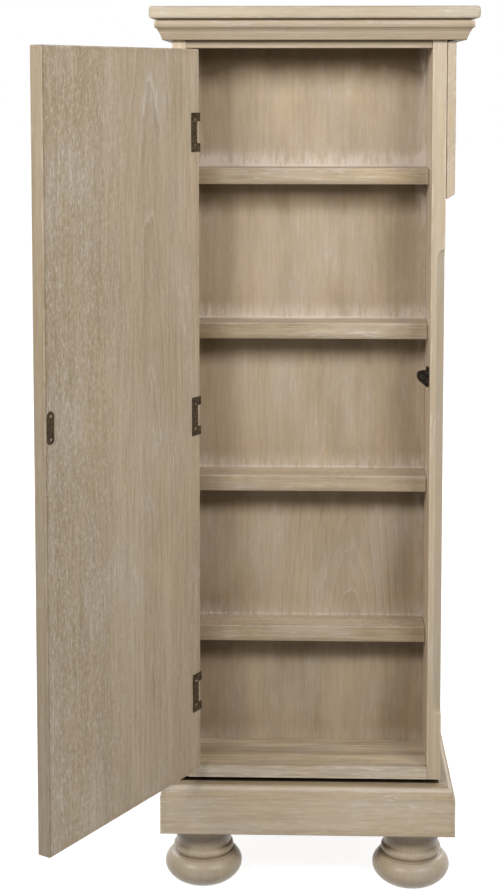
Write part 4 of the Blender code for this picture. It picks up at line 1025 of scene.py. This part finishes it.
# %% Lamps and world
def soft_lamp(name, place, target, size, watts):
    """Area lamp aimed at a point; the camera doesn't see the lamp itself."""
    lamp_data = bpy.data.lights.new(name, "AREA")
    lamp_data.shape = "RECTANGLE"
    lamp_data.size, lamp_data.size_y = size
    lamp_data.energy = watts
    lamp = bpy.data.objects.new(name, lamp_data)
    lamp.location = place
    lamp.rotation_euler = (Vector(target) - Vector(place)).to_track_quat("-Z", "Y").to_euler()
    lamp.visible_camera = False
    bpy.context.scene.collection.objects.link(lamp)


FRONT_TARGET, FRONT_SIZE = (0.0, -0.2, 1.0), (1.25, 0.36)
BACK_TARGET, BACK_SIZE = (0.0, 0.2, 0.8), (1.5, 1.5)
soft_lamp("lamp_front_left", (-1.24, -1.64, 1.72), FRONT_TARGET, FRONT_SIZE, 26.0)
soft_lamp("lamp_front_right", (1.24, -1.64, 1.72), FRONT_TARGET, FRONT_SIZE, 22.0)
soft_lamp("lamp_back_left", (-2.2, 2.6, 2.2), BACK_TARGET, BACK_SIZE, 52.0)
soft_lamp("lamp_back_right", (2.2, 2.6, 2.2), BACK_TARGET, BACK_SIZE, 52.0)

GLOW = 0.05
world = bpy.data.worlds.new("studio_glow")
bpy.context.scene.world = world
world.use_nodes = True
tree = world.node_tree
tree.nodes.clear()
sky = put(tree, "ShaderNodeBackground")
feed(tree, sky.inputs["Color"], WHITE)
feed(tree, sky.inputs["Strength"], ease_range(tree, seen_directly(tree), 0.0, 1.0, GLOW, 1.0))
feed(tree, put(tree, "ShaderNodeOutputWorld").inputs["Surface"], sky.outputs[0])
bpy.context.scene.view_settings.view_transform = "Standard"
print("Lamps:", sorted(light.name for light in bpy.data.lights), "glow:", GLOW)

# %% [markdown]
# ## Camera
# The picture was taken from above the middle of the chest, slightly left of square, with the lens shifted
# down so that the uprights stay nearly parallel. A camera with a vertical shift does the same.

# %% Camera
PICTURE_HEIGHT = 890
FOCAL_PIXELS = 1693.36
LENS_SHIFT = -0.25
DOWNWARD_TILT = 4.719
LEFTWARD_TURN = 1.643
CAMERA_PLACE = (-0.01495, -2.87213, 1.30385)
camera_data = bpy.data.cameras.new("camera")
camera_data.sensor_width = 36.0
camera_data.lens = FOCAL_PIXELS / PICTURE_HEIGHT * camera_data.sensor_width
camera_data.shift_y = LENS_SHIFT
camera = bpy.data.objects.new("camera", camera_data)
camera.location = CAMERA_PLACE
camera.rotation_euler = (math.radians(90.0 - DOWNWARD_TILT), 0.0, math.radians(LEFTWARD_TURN))
bpy.context.scene.collection.objects.link(camera)
bpy.context.scene.camera = camera
print("Lens:", round(camera_data.lens, 2), "mm")
